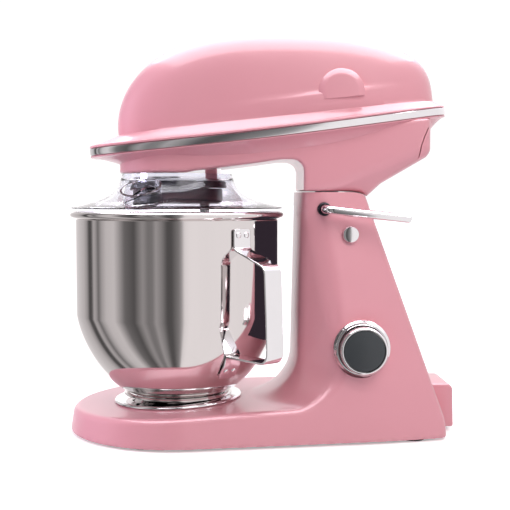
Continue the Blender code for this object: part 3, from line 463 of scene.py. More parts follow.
def make_stand():
    low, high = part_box("stand_casting")
    stand = skin("stand_shell", stand_field, low, (high.x, high.y, COLUMN_TOP + 0.004), 0.0022)
    pad = lay_along_y(turned("pad", [(0.0275, 0.055), (0.0275, 0.0745)], 96), KNOB)
    carve(stand, pad, operation="UNION")
    seam = arc(PIVOT, SEAM_RADIUS, 90, 35, 40)
    crown = [(0.09, COLUMN_TOP)] + seam + [(0.25, seam[-1][1]), (0.25, 0.3), (0.09, 0.3)]
    slot = arc(PIVOT, 0.078, 130, 60, 16) + arc(PIVOT, 0.0155, 60, -230, 30)
    pocket = lay_along_y(turned("pocket", [(0.0285, 0.0745), (0.0285, 0.1)], 96), KNOB)
    bush = lay_along_y(turned("bush_hole", [(0.0069, 0.045), (0.0069, 0.08)], 48), LEVER)
    carve(
        stand,
        prism("crown", crown, -0.09, 0.09, "Y"),
        prism("slot", slot, -0.027, 0.027, "Y"),
        pocket,
        bush,
    )
    dress(stand, "stand", "pink_enamel", "stand_casting", angle=32)


def make_rear_housing():
    low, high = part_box("rear_housing")
    top = high.z
    outline = [
        (low.x + 0.0113, low.z), (high.x, low.z), (high.x - 0.001, top - 0.004), (high.x - 0.005, top),
        (low.x, top), (low.x + 0.0113, 0.017),
    ]
    housing = prism("rear_housing_shell", outline, low.y, high.y, "Y")
    bevelled(housing, 0.0022, 4)
    inlet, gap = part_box("power_inlet"), Vector((0.0003, 0.0003, 0.0003))
    near, far = inlet[0] - gap, inlet[1] + gap
    outline = [(near.y, near.z), (far.y, near.z), (far.y, far.z), (near.y, far.z)]
    rings = [[(x, y, z) for y, z in outline] for x in (near.x, high.x + 0.01)]
    carve(housing, loft("inlet_hole", rings))
    dress(housing, "stand", "pink_enamel", "rear_housing")


def make_power_inlet():
    low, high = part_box("power_inlet")
    shell = bmesh.new()
    add_block(shell, (low + high) / 2, high - low)
    inlet = bmesh_object("power_inlet_shell", shell)
    half = [(0.009, 0.018), (0.009, 0.029), (0.006, 0.032)]
    outline = eased([(-0.009, 0.018)] + half + [(-0.006, 0.032), (-0.009, 0.029)], 0.001)
    rings = [[(x, y, z) for y, z in outline] for x in (high.x - 0.0045, high.x + 0.01)]
    carve(inlet, loft("socket", rings))
    bevelled(inlet, 0.0004, 2)
    dress(inlet, "stand", "black_plastic", "power_inlet")
    made = bmesh.new()
    for y in (-0.005, 0.0, 0.005):
        add_block(made, (high.x - 0.003, y, 0.0252), (0.0042, 0.0012, 0.0026))
    pins = bevelled(bmesh_object("inlet_pins", made), 0.0002, 2)
    dress(pins, "stand", "alloy")


def make_hinge_caps():
    """Domed chrome buttons over the ends of the hinge pin."""
    for side, sign in (("left", 1), ("right", -1)):
        name, node = f"hinge_button_{side}", f"hinge_cap_{side}"
        low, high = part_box(node)
        base, tip = (-high.y, -low.y) if sign > 0 else (-low.y, -high.y)
        radius = (high.z - low.z) / 2
        crown = tip - base
        profile = [
            (radius, base - 0.002 * sign), (radius, base + 0.25 * crown),
            (radius - 0.0003, base + 0.42 * crown),
        ]
        for i in range(1, 8):
            turn = radians(90) * i / 8
            profile.append((radius * cos(turn) - 0.0002, base + crown * (0.42 + 0.58 * sin(turn))))
        button = lay_along_y(turned(name, profile, 72), PIVOT)
        dress(button, "stand", "chrome_trim", node)


def make_bowl_seat():
    """The chrome plate that the bowl twists into, on the sloping deck."""
    low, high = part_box("bowl_seat")
    edge = (high.x - low.x) / 2
    profile = [
        (0.002, -0.003), (edge - 0.0008, -0.003), (edge, -0.0022), (edge - 0.0002, -0.0012),
        (edge - 0.0012, -0.0003), (edge - 0.003, 0.0), (0.0445, 0.0002), (0.044, 0.0006), (0.002, 0.0006),
    ]
    seat = turned("bowl_seat_plate", profile)
    tilt = Matrix.Rotation(-atan(TOP_SLOPE), 4, "Y")
    seat.data.transform(Matrix.Translation((0, 0, BASE_TOP + 0.0034)) @ tilt)
    hub = turned("seat_hub", [(0.042, 0.033), (0.042, high.z - 0.0006), (0.0414, high.z)], 96)
    carve(seat, hub, operation="UNION")
    for index in range(3):
        middle = 120 * index
        tab = arc((0, 0), 0.04, middle - 16, middle + 16, 12)
        tab += arc((0, 0), 0.0462, middle + 16, middle - 16, 12)
        carve(seat, prism("tab", tab, high.z - 0.002, high.z - 0.0002), operation="UNION")
    dress(seat, "stand", "chrome_trim", "bowl_seat")


# ---------------------------------------------------------------- controls


def make_knob():
    """A chrome barrel with a soft dark face, in a chrome ring on the column's side."""
    low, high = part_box("knob_bezel")
    back, rim = -high.y, -low.y
    outer = (high.x - low.x) / 2
    barrel = (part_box("speed_knob")[1].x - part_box("speed_knob")[0].x) / 2
    inner = barrel + 0.0005
    ring = [
        (inner, back), (outer - 0.0006, back), (outer, back + 0.0006), (outer, back + 0.0018),
        (outer - 0.0006, back + 0.0028), (outer - 0.0018, back + 0.0038), (inner + 0.0022, rim - 0.0002),
        (inner + 0.0014, rim), (inner + 0.0004, rim - 0.0004), (inner, rim - 0.0012),
    ]
    bezel = lay_along_y(turned("knob_bezel_ring", ring, 128, bore=True), KNOB)
    dress(bezel, "stand", "chrome_trim", "knob_bezel")
    front = -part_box("speed_knob")[0].y
    face_edge = 0.0199
    profile = [
        (0.0034, 0.0634), (0.0034, back), (barrel - 0.0004, back), (barrel, back + 0.0006),
        (barrel, front - 0.002), (barrel - 0.0003, front - 0.0009), (barrel - 0.001, front - 0.0002),
        (barrel - 0.0017, front), (face_edge + 0.0006, front - 0.0003), (face_edge + 0.0002, front - 0.003),
    ]
    knob = lay_along_y(turned("speed_knob_barrel", profile, 128), KNOB)
    dress(knob, "knob", "chrome_trim", "speed_knob")
    crown = -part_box("knob_face")[0].y
    profile = [
        (face_edge - 0.0003, front - 0.0029), (face_edge, front - 0.0016),
        (face_edge - 0.0004, front - 0.0007),
    ]
    for i in range(1, 13):
        share = i / 13
        rise = (crown - front + 0.0005) * sin(radians(90) * share)
        profile.append(((face_edge - 0.001) * (1 - share), front - 0.0005 + rise))
    face = lay_along_y(turned("knob_face_disc", profile, 128), KNOB)
    mark = [(-0.0007, 0.0125), (0.0007, 0.0125), (0.0007, 0.0185), (-0.0007, 0.0185)]
    mark = [(KNOB[0] + a, KNOB[1] + b) for a, b in mark]
    carve(face, prism("mark", mark, -front - 0.004, -front + 0.0001, "Y"))
    dress(face, "knob", "knob_dark", "knob_face")


def make_lever():
    """The chrome lock lever: out of its bush, round a bend, then sloping down to the rear."""
    inner_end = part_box("lock_lever")[1].y
    radius, bend, slope = 0.0042, 0.008, radians(-6.6)
    corner = Vector((LEVER[0], -0.0712, LEVER[1]))
    along = Vector((cos(slope), 0.0, sin(slope)))
    across = Vector((0.0, bend, 0.0))
    centre = corner + along * bend + across
    route = [Vector((LEVER[0], inner_end, LEVER[1])), Vector((LEVER[0], -0.055, LEVER[1]))]
    for i in range(19):
        angle = radians(5 * i)
        route.append(centre - along * bend * cos(angle) - across * sin(angle))
    tip = corner + along * 0.0813
    route += [corner + along * 0.04, tip]
    sizes = [radius] * len(route)
    for i in range(1, 7):
        turn = radians(15 * i)
        route.append(tip + along * 0.003 * sin(turn))
        sizes.append(max(radius * cos(turn), 0.0002))
    rings = []
    for i, point in enumerate(route):
        ahead = (route[min(i + 1, len(route) - 1)] - route[max(i - 1, 0)]).normalized()
        side = ahead.cross(Vector((0.0, 0.0, 1.0))).normalized()
        up = side.cross(ahead)
        turns = [2 * pi * k / 40 for k in range(40)]
        rings.append([point + sizes[i] * (cos(a) * side + sin(a) * up) for a in turns])
    dress(loft("lock_lever_rod", rings), "lever", "chrome_trim", "lock_lever")
    out = -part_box("lever_bush")[0].y
    inner, outer = radius + 0.0005, 0.0066
    profile = [
        (inner, 0.051), (outer, 0.051), (outer, out - 0.0012), (outer - 0.0005, out - 0.0003),
        (outer - 0.0012, out), (inner + 0.0004, out), (inner, out - 0.0005),
    ]
    bush = lay_along_y(turned("lever_bush_ring", profile, 64, bore=True), LEVER)
    dress(bush, "stand", "black_plastic", "lever_bush")


# ---------------------------------------------------------------- bowl


def bowl_radius(z):
    """Outer radius of the bowl's rounded lower half."""
    fall = (BOWL_SHOULDER_Z - z) / (BOWL_SHOULDER_Z - BOWL_FLOOR_Z)
    bulge = (1 - min(max(fall, 0.0), 1.0) ** 1.45) ** 0.571
    return BOWL_FLOOR_RADIUS + (BOWL_RADIUS - BOWL_FLOOR_RADIUS) * bulge


def make_bowl():
    levels = []
    for i in range(41):
        fall = sin(radians(90) * i / 40) ** 1.15
        levels.append(BOWL_SHOULDER_Z - fall * (BOWL_SHOULDER_Z - BOWL_FLOOR_Z))
    bead = arc((BOWL_RADIUS + BEAD_RADIUS - BOWL_WALL, RIM_Z), BEAD_RADIUS, 178, -100, 18)
    inside = [(0.0005, BOWL_FLOOR_Z + BOWL_WALL), (0.03, BOWL_FLOOR_Z + BOWL_WALL)]
    inside += [(bowl_radius(z) - BOWL_WALL, z + 0.6 * BOWL_WALL) for z in reversed(levels[:-1])]
    inside.append((BOWL_RADIUS - BOWL_WALL, RIM_Z - 0.004))
    outside = [(BOWL_RADIUS, RIM_Z - BEAD_RADIUS - 0.0012)] + [(bowl_radius(z), z) for z in levels]
    outside += [(0.03, BOWL_FLOOR_Z), (0.0005, BOWL_FLOOR_Z)]
    bowl = turned("bowl_shell", inside + bead + outside, 256)
    dress(bowl, "bowl_body", "polished_steel", "bowl")


def make_bowl_foot():
    low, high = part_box("bowl_foot")
    under, outer = low.z, (high.x - low.x) / 2
    profile = [
        (0.05, under), (outer - 0.0003, under), (outer, under + 0.0004), (outer - 0.0004, under + 0.0013),
        (outer - 0.0022, under + 0.0022), (0.053, high.z - 0.0012), (0.0528, high.z - 0.0003),
        (0.0522, high.z), (0.0512, high.z - 0.0003), (0.05, high.z - 0.0016),
    ]
    foot = turned("bowl_foot_ring", profile, 192, bore=True)
    dress(foot, "bowl_body", "polished_steel", "bowl_foot")


UPPER_TAB = (0.2095, 0.195)  # the strap's upper end: from and to these heights
LOWER_TAB = (0.08, 0.064)
STRAP_OFF = 0.0019  # from the bowl's wall to the strap's middle
STRAP = (0.02, 0.002)
STRAP_TIP = 0.003  # length of its rounded ends


def lower_lean():
    """Angle from upright of the bowl's wall where the strap's lower end lies."""
    low, high = LOWER_TAB[1], LOWER_TAB[0]
    return atan2(bowl_radius(high) - bowl_radius(low), high - low)


def strap_route():
    """Middle line of the strap in the (radius, height) plane, with eased bends."""
    lean = lower_lean()
    upper = BOWL_RADIUS + STRAP_OFF
    route = [(upper, UPPER_TAB[0]), (upper, UPPER_TAB[1] + 0.001)]
    route += arc((upper + 0.006, UPPER_TAB[1] - 0.001), 0.006, 180, 245, 8)[1:]
    route += arc((0.142, 0.168), 0.0095, 62, 2, 14)
    route += [(0.1535, 0.13), (0.1545, 0.1)]
    route += arc((0.144, 0.096), 0.0105, -2, -86, 16)
    foot = bowl_radius(LOWER_TAB[0]) + STRAP_OFF * cos(lean)
    route += arc((foot + 0.0055, LOWER_TAB[0] + 0.0005), 0.005, 100, 160, 8)
    for z in (LOWER_TAB[0] - 0.003, LOWER_TAB[1]):
        route.append((bowl_radius(z) + STRAP_OFF * cos(lean) + 0.0003, z - STRAP_OFF * sin(lean)))
    return route


def make_bowl_handle():
    """A bent steel strap with rounded edges and ends."""
    route = [Vector((r, 0.0, z)) for r, z in eased(strap_route(), 0.004, 3, closed=False)]
    half, thick = STRAP[0] / 2, STRAP[1] / 2
    section = eased([(-half, -thick), (half, -thick), (half, thick), (-half, thick)], 0.0007, 4)
    rings = []
    last = len(route) - 1
    for i, point in enumerate(route):
        ahead = (route[min(i + 1, last)] - route[max(i - 1, 0)]).normalized()
        out = Vector((ahead.z, 0.0, -ahead.x))
        rings.append([point + Vector((0.0, y, 0.0)) + out * t for y, t in section])
    for end, inner in ((0, 1), (last, last - 1)):
        away = (route[end] - route[inner]).normalized()
        out = Vector((away.z, 0.0, -away.x)) * (1 if end else -1)
        tip = []
        for k in range(6):
            turn = radians(90) * k / 5
            narrow = 1 - 0.25 * (1 - cos(turn))
            place = route[end] - away * STRAP_TIP * (1 - sin(turn))
            tip.append([place + Vector((0.0, y * narrow, 0.0)) + out * t for y, t in section])
        rings = rings[:-1] + tip if end else tip[::-1] + rings[1:]
    strap = loft("bowl_handle_strap", rings)
    strap.data.transform(Matrix.Rotation(HANDLE_ANGLE, 4, "Z"))
    dress(strap, "bowl_body", "polished_steel", "bowl_handle", 50, "chrome_trim")


def make_rivets():
    """Four domed rivets, square to the bowl's wall."""
    over = STRAP_OFF + STRAP[1] / 2
    profile = [(0.0013, 0.0), (0.0013, over - 0.0001), (0.0029, over - 0.0001), (0.0029, over + 0.0002)]
    for i in range(7):
        turn = radians(90) * i / 7
        profile.append((0.0028 * cos(turn) + 0.00005, over + 0.0003 + 0.001 * sin(turn)))
    places = [(BOWL_RADIUS, 0.2035, 0.0), (bowl_radius(0.0715), 0.0715, lower_lean())]
    for index in range(4):
        reach, z, tilt = places[index // 2]
        side = 0.0048 if index % 2 else -0.0048
        rivet = turned(f"rivet_{index + 1}", profile, 40)
        swing = Matrix.Rotation(radians(90) + tilt, 4, "Y")
        place = Matrix.Rotation(HANDLE_ANGLE, 4, "Z") @ Matrix.Translation((reach, side, z))
        rivet.data.transform(place @ swing)
        node = f"handle_rivet_{index + 1}"
        dress(rivet, "bowl_body", "polished_steel", node, finish="chrome_trim")


# ---------------------------------------------------------------- head shells


HEAD_POINTS = 192


def droop(u, v):
    """How far the band, dish and flange hang below the head's plane: most a little behind the nose."""
    share = 1.0 - 0.7 * min(max((v - BAND_HEIGHT / 2) / (DOME_FOOT - BAND_HEIGHT / 2), 0.0), 1.0)
    return share * (0.0045 + 0.0343 * u - 0.126 * u * u)


def head_point(u, y, v):
    c, s = cos(HEAD_SLOPE), sin(HEAD_SLOPE)
    return (HEAD_NOSE[0] + u * c - v * s, y, HEAD_NOSE[1] + u * s + v * c)


def plane_z(x, v):
    """Height, at x, of the line that lies v above the head's sloping plane."""
    u = (x - HEAD_NOSE[0] + v * sin(HEAD_SLOPE)) / cos(HEAD_SLOPE)
    return head_point(u, 0.0, v)[2]


TURNS = [2 * pi * (i + 0.5) / HEAD_POINTS for i in range(HEAD_POINTS)]


def bullet(start, end, half, angle):
    """A point of a rounded plan: (u, y). Angle 0 is the nose."""
    c, s = cos(angle), sin(angle)
    u = (start + end) / 2 - (end - start) / 2 * copysign(abs(c) ** (2 / BULLET), c)
    return u, half * copysign(abs(s) ** (2 / BULLET), s)


def band_plan(inset, angle):
    return bullet(inset, BAND_LENGTH - inset, BAND_HALF - inset, angle)


def dome_plan(inset, angle):
    return bullet(DOME_START + inset, DOME_END - inset, DOME_HALF - inset, angle)


def plan_ring(v, share, band_inset, dome_inset=0.0):
    """A level ring between the band's plan (share 0) and the dome's plan (share 1)."""
    ring = []
    for angle in TURNS:
        a, b = band_plan(band_inset, angle), dome_plan(dome_inset, angle)
        u = a[0] + share * (b[0] - a[0])
        ring.append(head_point(u, a[1] + share * (b[1] - a[1]), v - droop(u, v)))
    return ring


def ease(value):
    value = min(max(value, 0.0), 1.0)
    return value * value * (3 - 2 * value)


def dome_height(u):
    return 0.098 - 0.906 * (u - 0.14) ** 2


FLANK_RISE = 0.0031  # how far the lower flank stands out beside the boss


def flank(u, v):
    """The lower flank stands a little proud under a soft line that runs fore and aft of the boss."""
    boss_u = (BOSS[0] - HEAD_NOSE[0]) / cos(HEAD_SLOPE)
    fade = 1 - ease((boss_u - u) / 0.135) if u < boss_u else 1 - ease((u - boss_u) / 0.085)
    line = BOSS[1] + 0.002 - 0.035 * max(boss_u - u, 0.0)
    return FLANK_RISE * fade * ease((line - v) / 0.005 + 0.5) * ease((v - 0.004) / 0.016)


def dome_ring(size, inset):
    """One ring of the dome. Size runs from 1 at its foot to 0 at its top."""
    ring = []
    middle = (DOME_START + DOME_END) / 2
    for angle in TURNS:
        front, rear = max(cos(angle), 0.0), max(-cos(angle), 0.0)
        beam = sin(angle) ** 2
        steep = 3 + front ** 2 + 9 * rear ** 2 + 2.0 * beam
        crown = 2.2 - 0.2 * front + 0.8 * rear + 0.45 * beam
        u, y = dome_plan(inset, angle)
        u = middle + size * (u - middle)
        rise = (1 - size ** steep) ** (1 / crown)
        v = DOME_FOOT + rise * (dome_height(u) - inset - DOME_FOOT)
        proud = 0.0 if inset else flank(u, v) * beam
        ring.append(head_point(u, size * y + copysign(proud, y), v))
    return ring


def dome_sizes(count):
    """Ring sizes that crowd together towards the foot, where the wall is steep."""
    return [1 - (i / count) ** 2.6 for i in range(1, count)] + [0.004]


def make_head_cover():
    """The dome, its hollow-curved flange and the thin lip over the trim band, as one moulding."""
    skirt, lip = 0.0045, BAND_HEIGHT / 2 + 0.0003
    edge = [(-0.0002, skirt), (0.0, skirt - 0.0002), (0.0, 0.0012), (0.0002, 0.0007)]
    edge += [(0.0008, 0.0006), (0.0014, 0.0008), (0.0017, 0.0014)]
    rings = [plan_ring(-BAND_HEIGHT / 2, 0.0, skirt)]
    rings += [plan_ring(lip + rise, 0.0, inset) for rise, inset in edge]
    foot = lip + 0.0017
    for i in range(1, 25):
        share = i / 24
        rings.append(plan_ring(foot + (DOME_FOOT - foot) * share ** 1.3, share, 0.0014 * (1 - share)))
    rings += [dome_ring(size, 0.0) for size in dome_sizes(64)]
    inner = [dome_ring(size, 0.0035) for size in reversed(dome_sizes(24))]
    inner += [plan_ring(v, 1.0, 0.0, 0.0035) for v in (DOME_FOOT, 0.0, -BAND_HEIGHT / 2)]
    cover = loft("head_cover_shell", inner + rings)
    dress(cover, "head", "pink_enamel", "head_cover", angle=50)


def make_trim_band():
    half = BAND_HEIGHT / 2
    corners = [
        (-half + 0.0003, 0.0042), (half - 0.0003, 0.0042), (half, 0.0038), (half, 0.001),
        (half - 0.0004, 0.0003), (half - 0.0012, 0.0), (-half + 0.0012, 0.0), (-half + 0.0004, 0.0003),
        (-half, 0.001), (-half, 0.0038),
    ]
    rings = []
    for angle in TURNS:
        plan = [(*band_plan(inset, angle), v) for v, inset in corners]
        rings.append([head_point(u, y, v - droop(u, v)) for u, y, v in plan])
    band = loft("trim_band_strip", rings, closed=True)
    dress(band, "head", "chrome_trim", "trim_band", angle=30)


HOUSING_HALF = 0.0535
HOUSING_REAR = 0.2555
SHELL_FLOOR = 0.264
NECK_BOTTOM = COLUMN_TOP + 0.0011
NECK_FRONT = 0.1268


def housing_side_view():
    """Side view of the lower shell and neck, with eased corners."""
    front, rear, top = -0.0595, HOUSING_REAR, -0.007
    underside = [(0.011, SHELL_FLOOR), (0.02, SHELL_FLOOR + 0.002), (0.068, 0.2718), (0.105, 0.277)]
    throat = arc((0.115, 0.265), 0.012, 88, 2, 14)
    neck = [(NECK_FRONT, NECK_BOTTOM)] + arc(PIVOT, SEAM_RADIUS + 0.0011, 90, 62, 14)
    back = [(0.206, 0.2535), (0.25, 0.2795), (rear, 0.287)]
    edge = [(rear, plane_z(rear, top)), (front, plane_z(front, top))]
    return [(front, SHELL_FLOOR)] + underside + throat + neck + back + edge


def housing_plan_view():
    half, corner, rear, nose = HOUSING_HALF, 0.016, HOUSING_REAR, 0.0595
    angles = [radians(-90 + 6 * k) for k in range(31)]
    front = [(-nose * cos(a), half * sin(a)) for a in angles]
    far = arc((rear - corner, half - corner), corner, 90, 0, 10)
    near = arc((rear - corner, -half + corner), corner, 0, -90, 10)
    return front + far + near


SIDE_VIEW, PLAN_VIEW = housing_side_view(), housing_plan_view()
CHAMFER_AT = (0.171, 0.2558)
CHAMFER_TURN = (0.39, 1.0, -0.93)


def housing_field(x, y, z):
    profile = outline_distance(SIDE_VIEW, x, z)
    plan = outline_distance(PLAN_VIEW, x, y)
    body = rounded_both(profile, plan, 0.0032)
    size = sqrt(sum(c * c for c in CHAMFER_TURN))
    chamfer = (x - CHAMFER_AT[0]) * CHAMFER_TURN[0] + (np.abs(y) - HOUSING_HALF) * CHAMFER_TURN[1]
    chamfer = (chamfer + (z - CHAMFER_AT[1]) * CHAMFER_TURN[2]) / size
    return rounded_both(body, chamfer, 0.004)


def make_head_housing():
    """The lower shell and neck, with the flared dish that meets the trim band."""
    top = plane_z(HOUSING_REAR, -0.007) + 0.001
    low = (min(x for x, z in SIDE_VIEW), -HOUSING_HALF, min(z for x, z in SIDE_VIEW))
    body = skin("head_housing_shell", housing_field, low, (HOUSING_REAR, HOUSING_HALF, top), 0.0019)
    lip = -BAND_HEIGHT / 2 - 0.0003
    edge = [(0.0001, 0.01), (0.0, 0.001), (0.0003, 0.0006), (0.001, 0.0007), (0.0014, 0.0012)]
    rings = [plan_ring(lip - drop, 0.0, inset) for drop, inset in edge]
    for i in range(1, 21):
        share = i / 20
        rings.append(plan_ring(lip - 0.0014 - 0.0122 * share ** 1.5, share, 0.0012, 0.0068))
    rings.append(plan_ring(lip - 0.015, 1.0, 0.0, 0.012))
    dish = loft("dish", rings)
    carve(body, dish, operation="UNION")
    hub = turned("hub_hole", [(0.0458, 0.25), (0.0458, 0.2745)], 128)
    seam = [(0.2506, 0.3085), (0.2465, 0.3), (0.243, 0.2905), (0.2408, 0.275)]
    outline = [(x - 0.0005, z) for x, z in seam] + [(x + 0.0006, z) for x, z in reversed(seam)]
    near, far = prism("seam_near", outline, -0.07, -0.046, "Y"), prism("seam_far", outline, 0.046, 0.07, "Y")
    carve(body, hub, near, far)
    dress(body, "head", "pink_enamel", "head_housing", angle=32)


BOSS_TIP = radians(3)  # how far the boss's face looks up


def make_side_bosses():
    """Round covers low on the dome's flanks, with broad soft edges."""
    profile = [
        (0.0226, -0.008), (0.0226, 0.0), (0.022, 0.0006), (0.0178, 0.0023), (0.0168, 0.0027),
        (0.0155, 0.0028), (0.0005, 0.0028),
    ]
    for hand, side in (("left", 1), ("right", -1)):
        boss = turned(f"side_cover_{hand}", profile, 128)
        turn = Matrix.Rotation(side * (radians(90) - BOSS_TIP), 4, "X")
        place = (BOSS[0], -side * 0.06, plane_z(*BOSS))
        boss.data.transform(Matrix.Translation(place) @ turn)
        under = [
            (BOSS[0] - 0.05, 0.2), (BOSS[0] + 0.05, 0.2), (BOSS[0] + 0.05, place[2] - 0.0007),
            (BOSS[0] - 0.05, place[2] - 0.0113),
        ]
        carve(boss, prism("below_crease", under, -0.1, 0.1, "Y"))
        dress(boss, "head", "pink_enamel", f"side_boss_{hand}")


# ---------------------------------------------------------------- hub, guard and tool


def make_hub():
    outer, floor = 0.0455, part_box("hub_ring")[0].z
    profile = [
        (0.0428, floor + 0.0004), (0.0432, floor), (outer - 0.0006, floor), (outer, floor + 0.0006),
        (outer, 0.274), (0.0428, 0.274),
    ]
    hub = turned("hub_sleeve", profile, bore=True)
    dress(hub, "head", "chrome_trim", "hub_ring")
    low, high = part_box("guard_collar")
    outer, inner = (high.x - low.x) / 2, 0.0437
    profile = [
        (inner, low.z), (outer - 0.001, low.z), (outer, low.z + 0.001), (outer, low.z + 0.003),
        (outer - 0.0006, low.z + 0.0038), (outer - 0.0006, high.z - 0.0012), (outer - 0.0014, high.z),
        (inner, high.z),
    ]
    collar = turned("guard_collar_ring", profile, bore=True)
    dress(collar, "head", "black_plastic", "guard_collar")


def make_carrier():
    """The black drum that carries the tool round the bowl."""
    low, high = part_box("planet_carrier")
    outer = (high.x - low.x) / 2
    profile = [
        (0.0005, low.z + 0.0003), (outer - 0.004, low.z), (outer - 0.0016, low.z + 0.0006),
        (outer - 0.0004, low.z + 0.002), (outer, low.z + 0.0034), (outer, high.z - 0.0006),
        (outer - 0.0006, high.z), (0.0005, high.z),
    ]
    drum = turned("planet_drum", profile)
    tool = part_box("tool_shaft")
    centre = ((tool[0].x + tool[1].x) / 2, 0.0)
    carve(drum, turned("tool_hole", [(0.0056, low.z - 0.01), (0.0056, high.z + 0.01)], 48, centre))
    carve(drum, turned("shaft_hole", [(0.0063, low.z + 0.003), (0.0063, high.z + 0.01)], 48))
    dress(drum, "carrier", "black_plastic", "planet_carrier")


CHUTE_ANGLE = radians(-113)  # about the bowl's axis, from the rear
CHUTE_REACH = 0.0765
CHUTE_HEIGHT = 0.2392
CHUTE_LEAN = radians(24)


def make_splash_guard():
    """A clear cone over the bowl with a pouring chute, thin enough to see the drum through."""
    outer = [
        (0.1086, 0.2283), (0.109, 0.2287), (0.1088, 0.2294), (0.098, 0.2315), (0.086, 0.2345),
        (0.076, 0.238), (0.069, 0.2417), (0.064, 0.2457), (0.0608, 0.2505), (0.0588, 0.256),
        (0.0568, 0.2622), (0.0564, 0.2632),
    ]
    inner = [
        (0.0552, 0.2632), (0.0556, 0.26), (0.0566, 0.258), (0.0462, 0.2578), (0.0462, 0.2565),
        (0.0572, 0.2563), (0.0594, 0.2505), (0.0626, 0.245), (0.068, 0.2406), (0.0754, 0.2368),
        (0.0856, 0.2332), (0.0976, 0.2303), (0.1044, 0.2291), (0.1044, 0.2283),
    ]
    guard = turned("splash_guard_cone", outer + inner, bore=True)
    place = Matrix.Translation((CHUTE_REACH, 0.0, CHUTE_HEIGHT)) @ Matrix.Rotation(CHUTE_LEAN, 4, "Y")
    place = Matrix.Rotation(CHUTE_ANGLE, 4, "Z") @ place
    spout = [(0.0185, -0.006), (0.02, 0.0096), (0.0205, 0.0104), (0.0203, 0.011), (0.0196, 0.011)]
    tube = turned("chute", spout, 96)
    bore = turned("chute_bore", [(0.0169, -0.03), (0.019, 0.02)], 96)
    for piece in (tube, bore):
        piece.data.transform(place)
    carve(guard, tube, operation="UNION")
    carve(guard, bore)
    dress(guard, "guard", "clear_plastic", "splash_guard", angle=30)


def make_beater():
    """A cast flat beater: a rounded frame with two windows and a socket for the shaft."""
    low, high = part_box("beater")
    x0 = (low.x + high.x) / 2
    half = [
        (0.009, 0.051), (0.018, 0.056), (0.034, 0.078), (0.048, 0.105), (0.052, 0.13), (0.04, 0.158),
        (0.01, 0.176),
    ]
    outline = eased([(x, z) for x, z in half] + [(-x, z) for x, z in reversed(half)], 0.01, 6)
    window = [
        (0.005, 0.062), (0.013, 0.065), (0.026, 0.083), (0.038, 0.107), (0.042, 0.127), (0.033, 0.148),
        (0.005, 0.163),
    ]
    window = eased(window, 0.006, 5)
    windows = [window, [(-x, z) for x, z in window]]

    def field(x, y, z):
        plate = outline_distance(outline, x - x0, z)
        for hole in windows:
            plate = rounded_both(plate, -outline_distance(hole, x - x0, z), 0.0006)
        plate = rounded_both(plate, np.abs(y) - 0.0032, 0.0024)
        socket = rounded_both(np.hypot(x - x0, y) - 0.0088, np.abs(z - 0.184) - 0.0158, 0.0016)
        return rounded_either(plate, socket, 0.004)

    beater = skin("flat_beater", field, low, high, 0.0014)
    carve(beater, turned("socket_hole", [(0.0053, 0.1862), (0.0053, 0.21)], 48, (x0, 0.0)))
    dress(beater, "tool", "alloy", "beater")


def make_rear_panel():
    """The vented plate set into the back of the head, with rounded slots."""
    low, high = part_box("rear_panel")
    rings = []
    outline = eased([(low.y, low.z), (high.y, low.z), (high.y, high.z), (low.y, high.z)], 0.002)
    back = HOUSING_REAR + 0.0003
    for x, shrink in ((low.x - high.x + back, 0.0), (back - 0.0004, 0.0), (back, 0.0004)):
        rings.append([(x, y * (1 - shrink / 0.024), z) for y, z in outline])
    panel = loft("rear_vent_panel", rings)
    for index in range(5):
        y = -0.016 + 0.008 * index
        left, right = y - 0.0014, y + 0.0014
        slot = eased([(left, 0.297), (right, 0.297), (right, 0.306), (left, 0.306)], 0.0012, 6)
        carve(panel, loft("vent", [[(x, a, b) for a, b in slot] for x in (low.x - 0.02, high.x + 0.01)]))
    dress(panel, "head", "pink_enamel", "rear_panel")


# ---------------------------------------------------------------- studio


FLOOR_REACH = 30.0
MATT_GLOW = dict(Color=(0.95, 0.93, 1.0, 1.0), Strength=0.37)  # the world as matt surfaces see it
CAMERA_GLOW = dict(Color=(1.0, 1.0, 1.0, 1.0), Strength=1.05)  # and as the camera does
BOX_TOWARDS = (0.22, 0.35, 0.91)  # the large overhead box that only shiny surfaces show
BOX_COLOUR = (1.6, 1.57, 1.75, 1.0)
STRIP_TINT = (0.965, 0.975)  # green and blue of the strips, for each unit of red
STRIPS = [  # azimuth from the front, in degrees, positive to the right, and the brightness there
    (-180, 1.15), (-160, 1.4), (-152, 0.8), (-138, 0.7), (-126, 0.6), (-118, 0.4), (-113, 0.09), (-108, 0.1),
    (-104, 0.5), (-100, 0.42), (-96, 0.18), (-90, 0.46), (-83, 0.65), (-72, 0.7), (-64, 0.4), (-58, 0.18),
    (-46, 0.1), (-40, 0.26), (-36, 0.36), (-30, 0.22), (-25, 0.24), (-21, 0.41), (-15, 0.28), (-9, 0.1),
    (-4, 0.1), (4, 0.26), (7, 0.45), (10, 0.88), (16, 0.98), (100, 0.96), (178, 1.15),
]


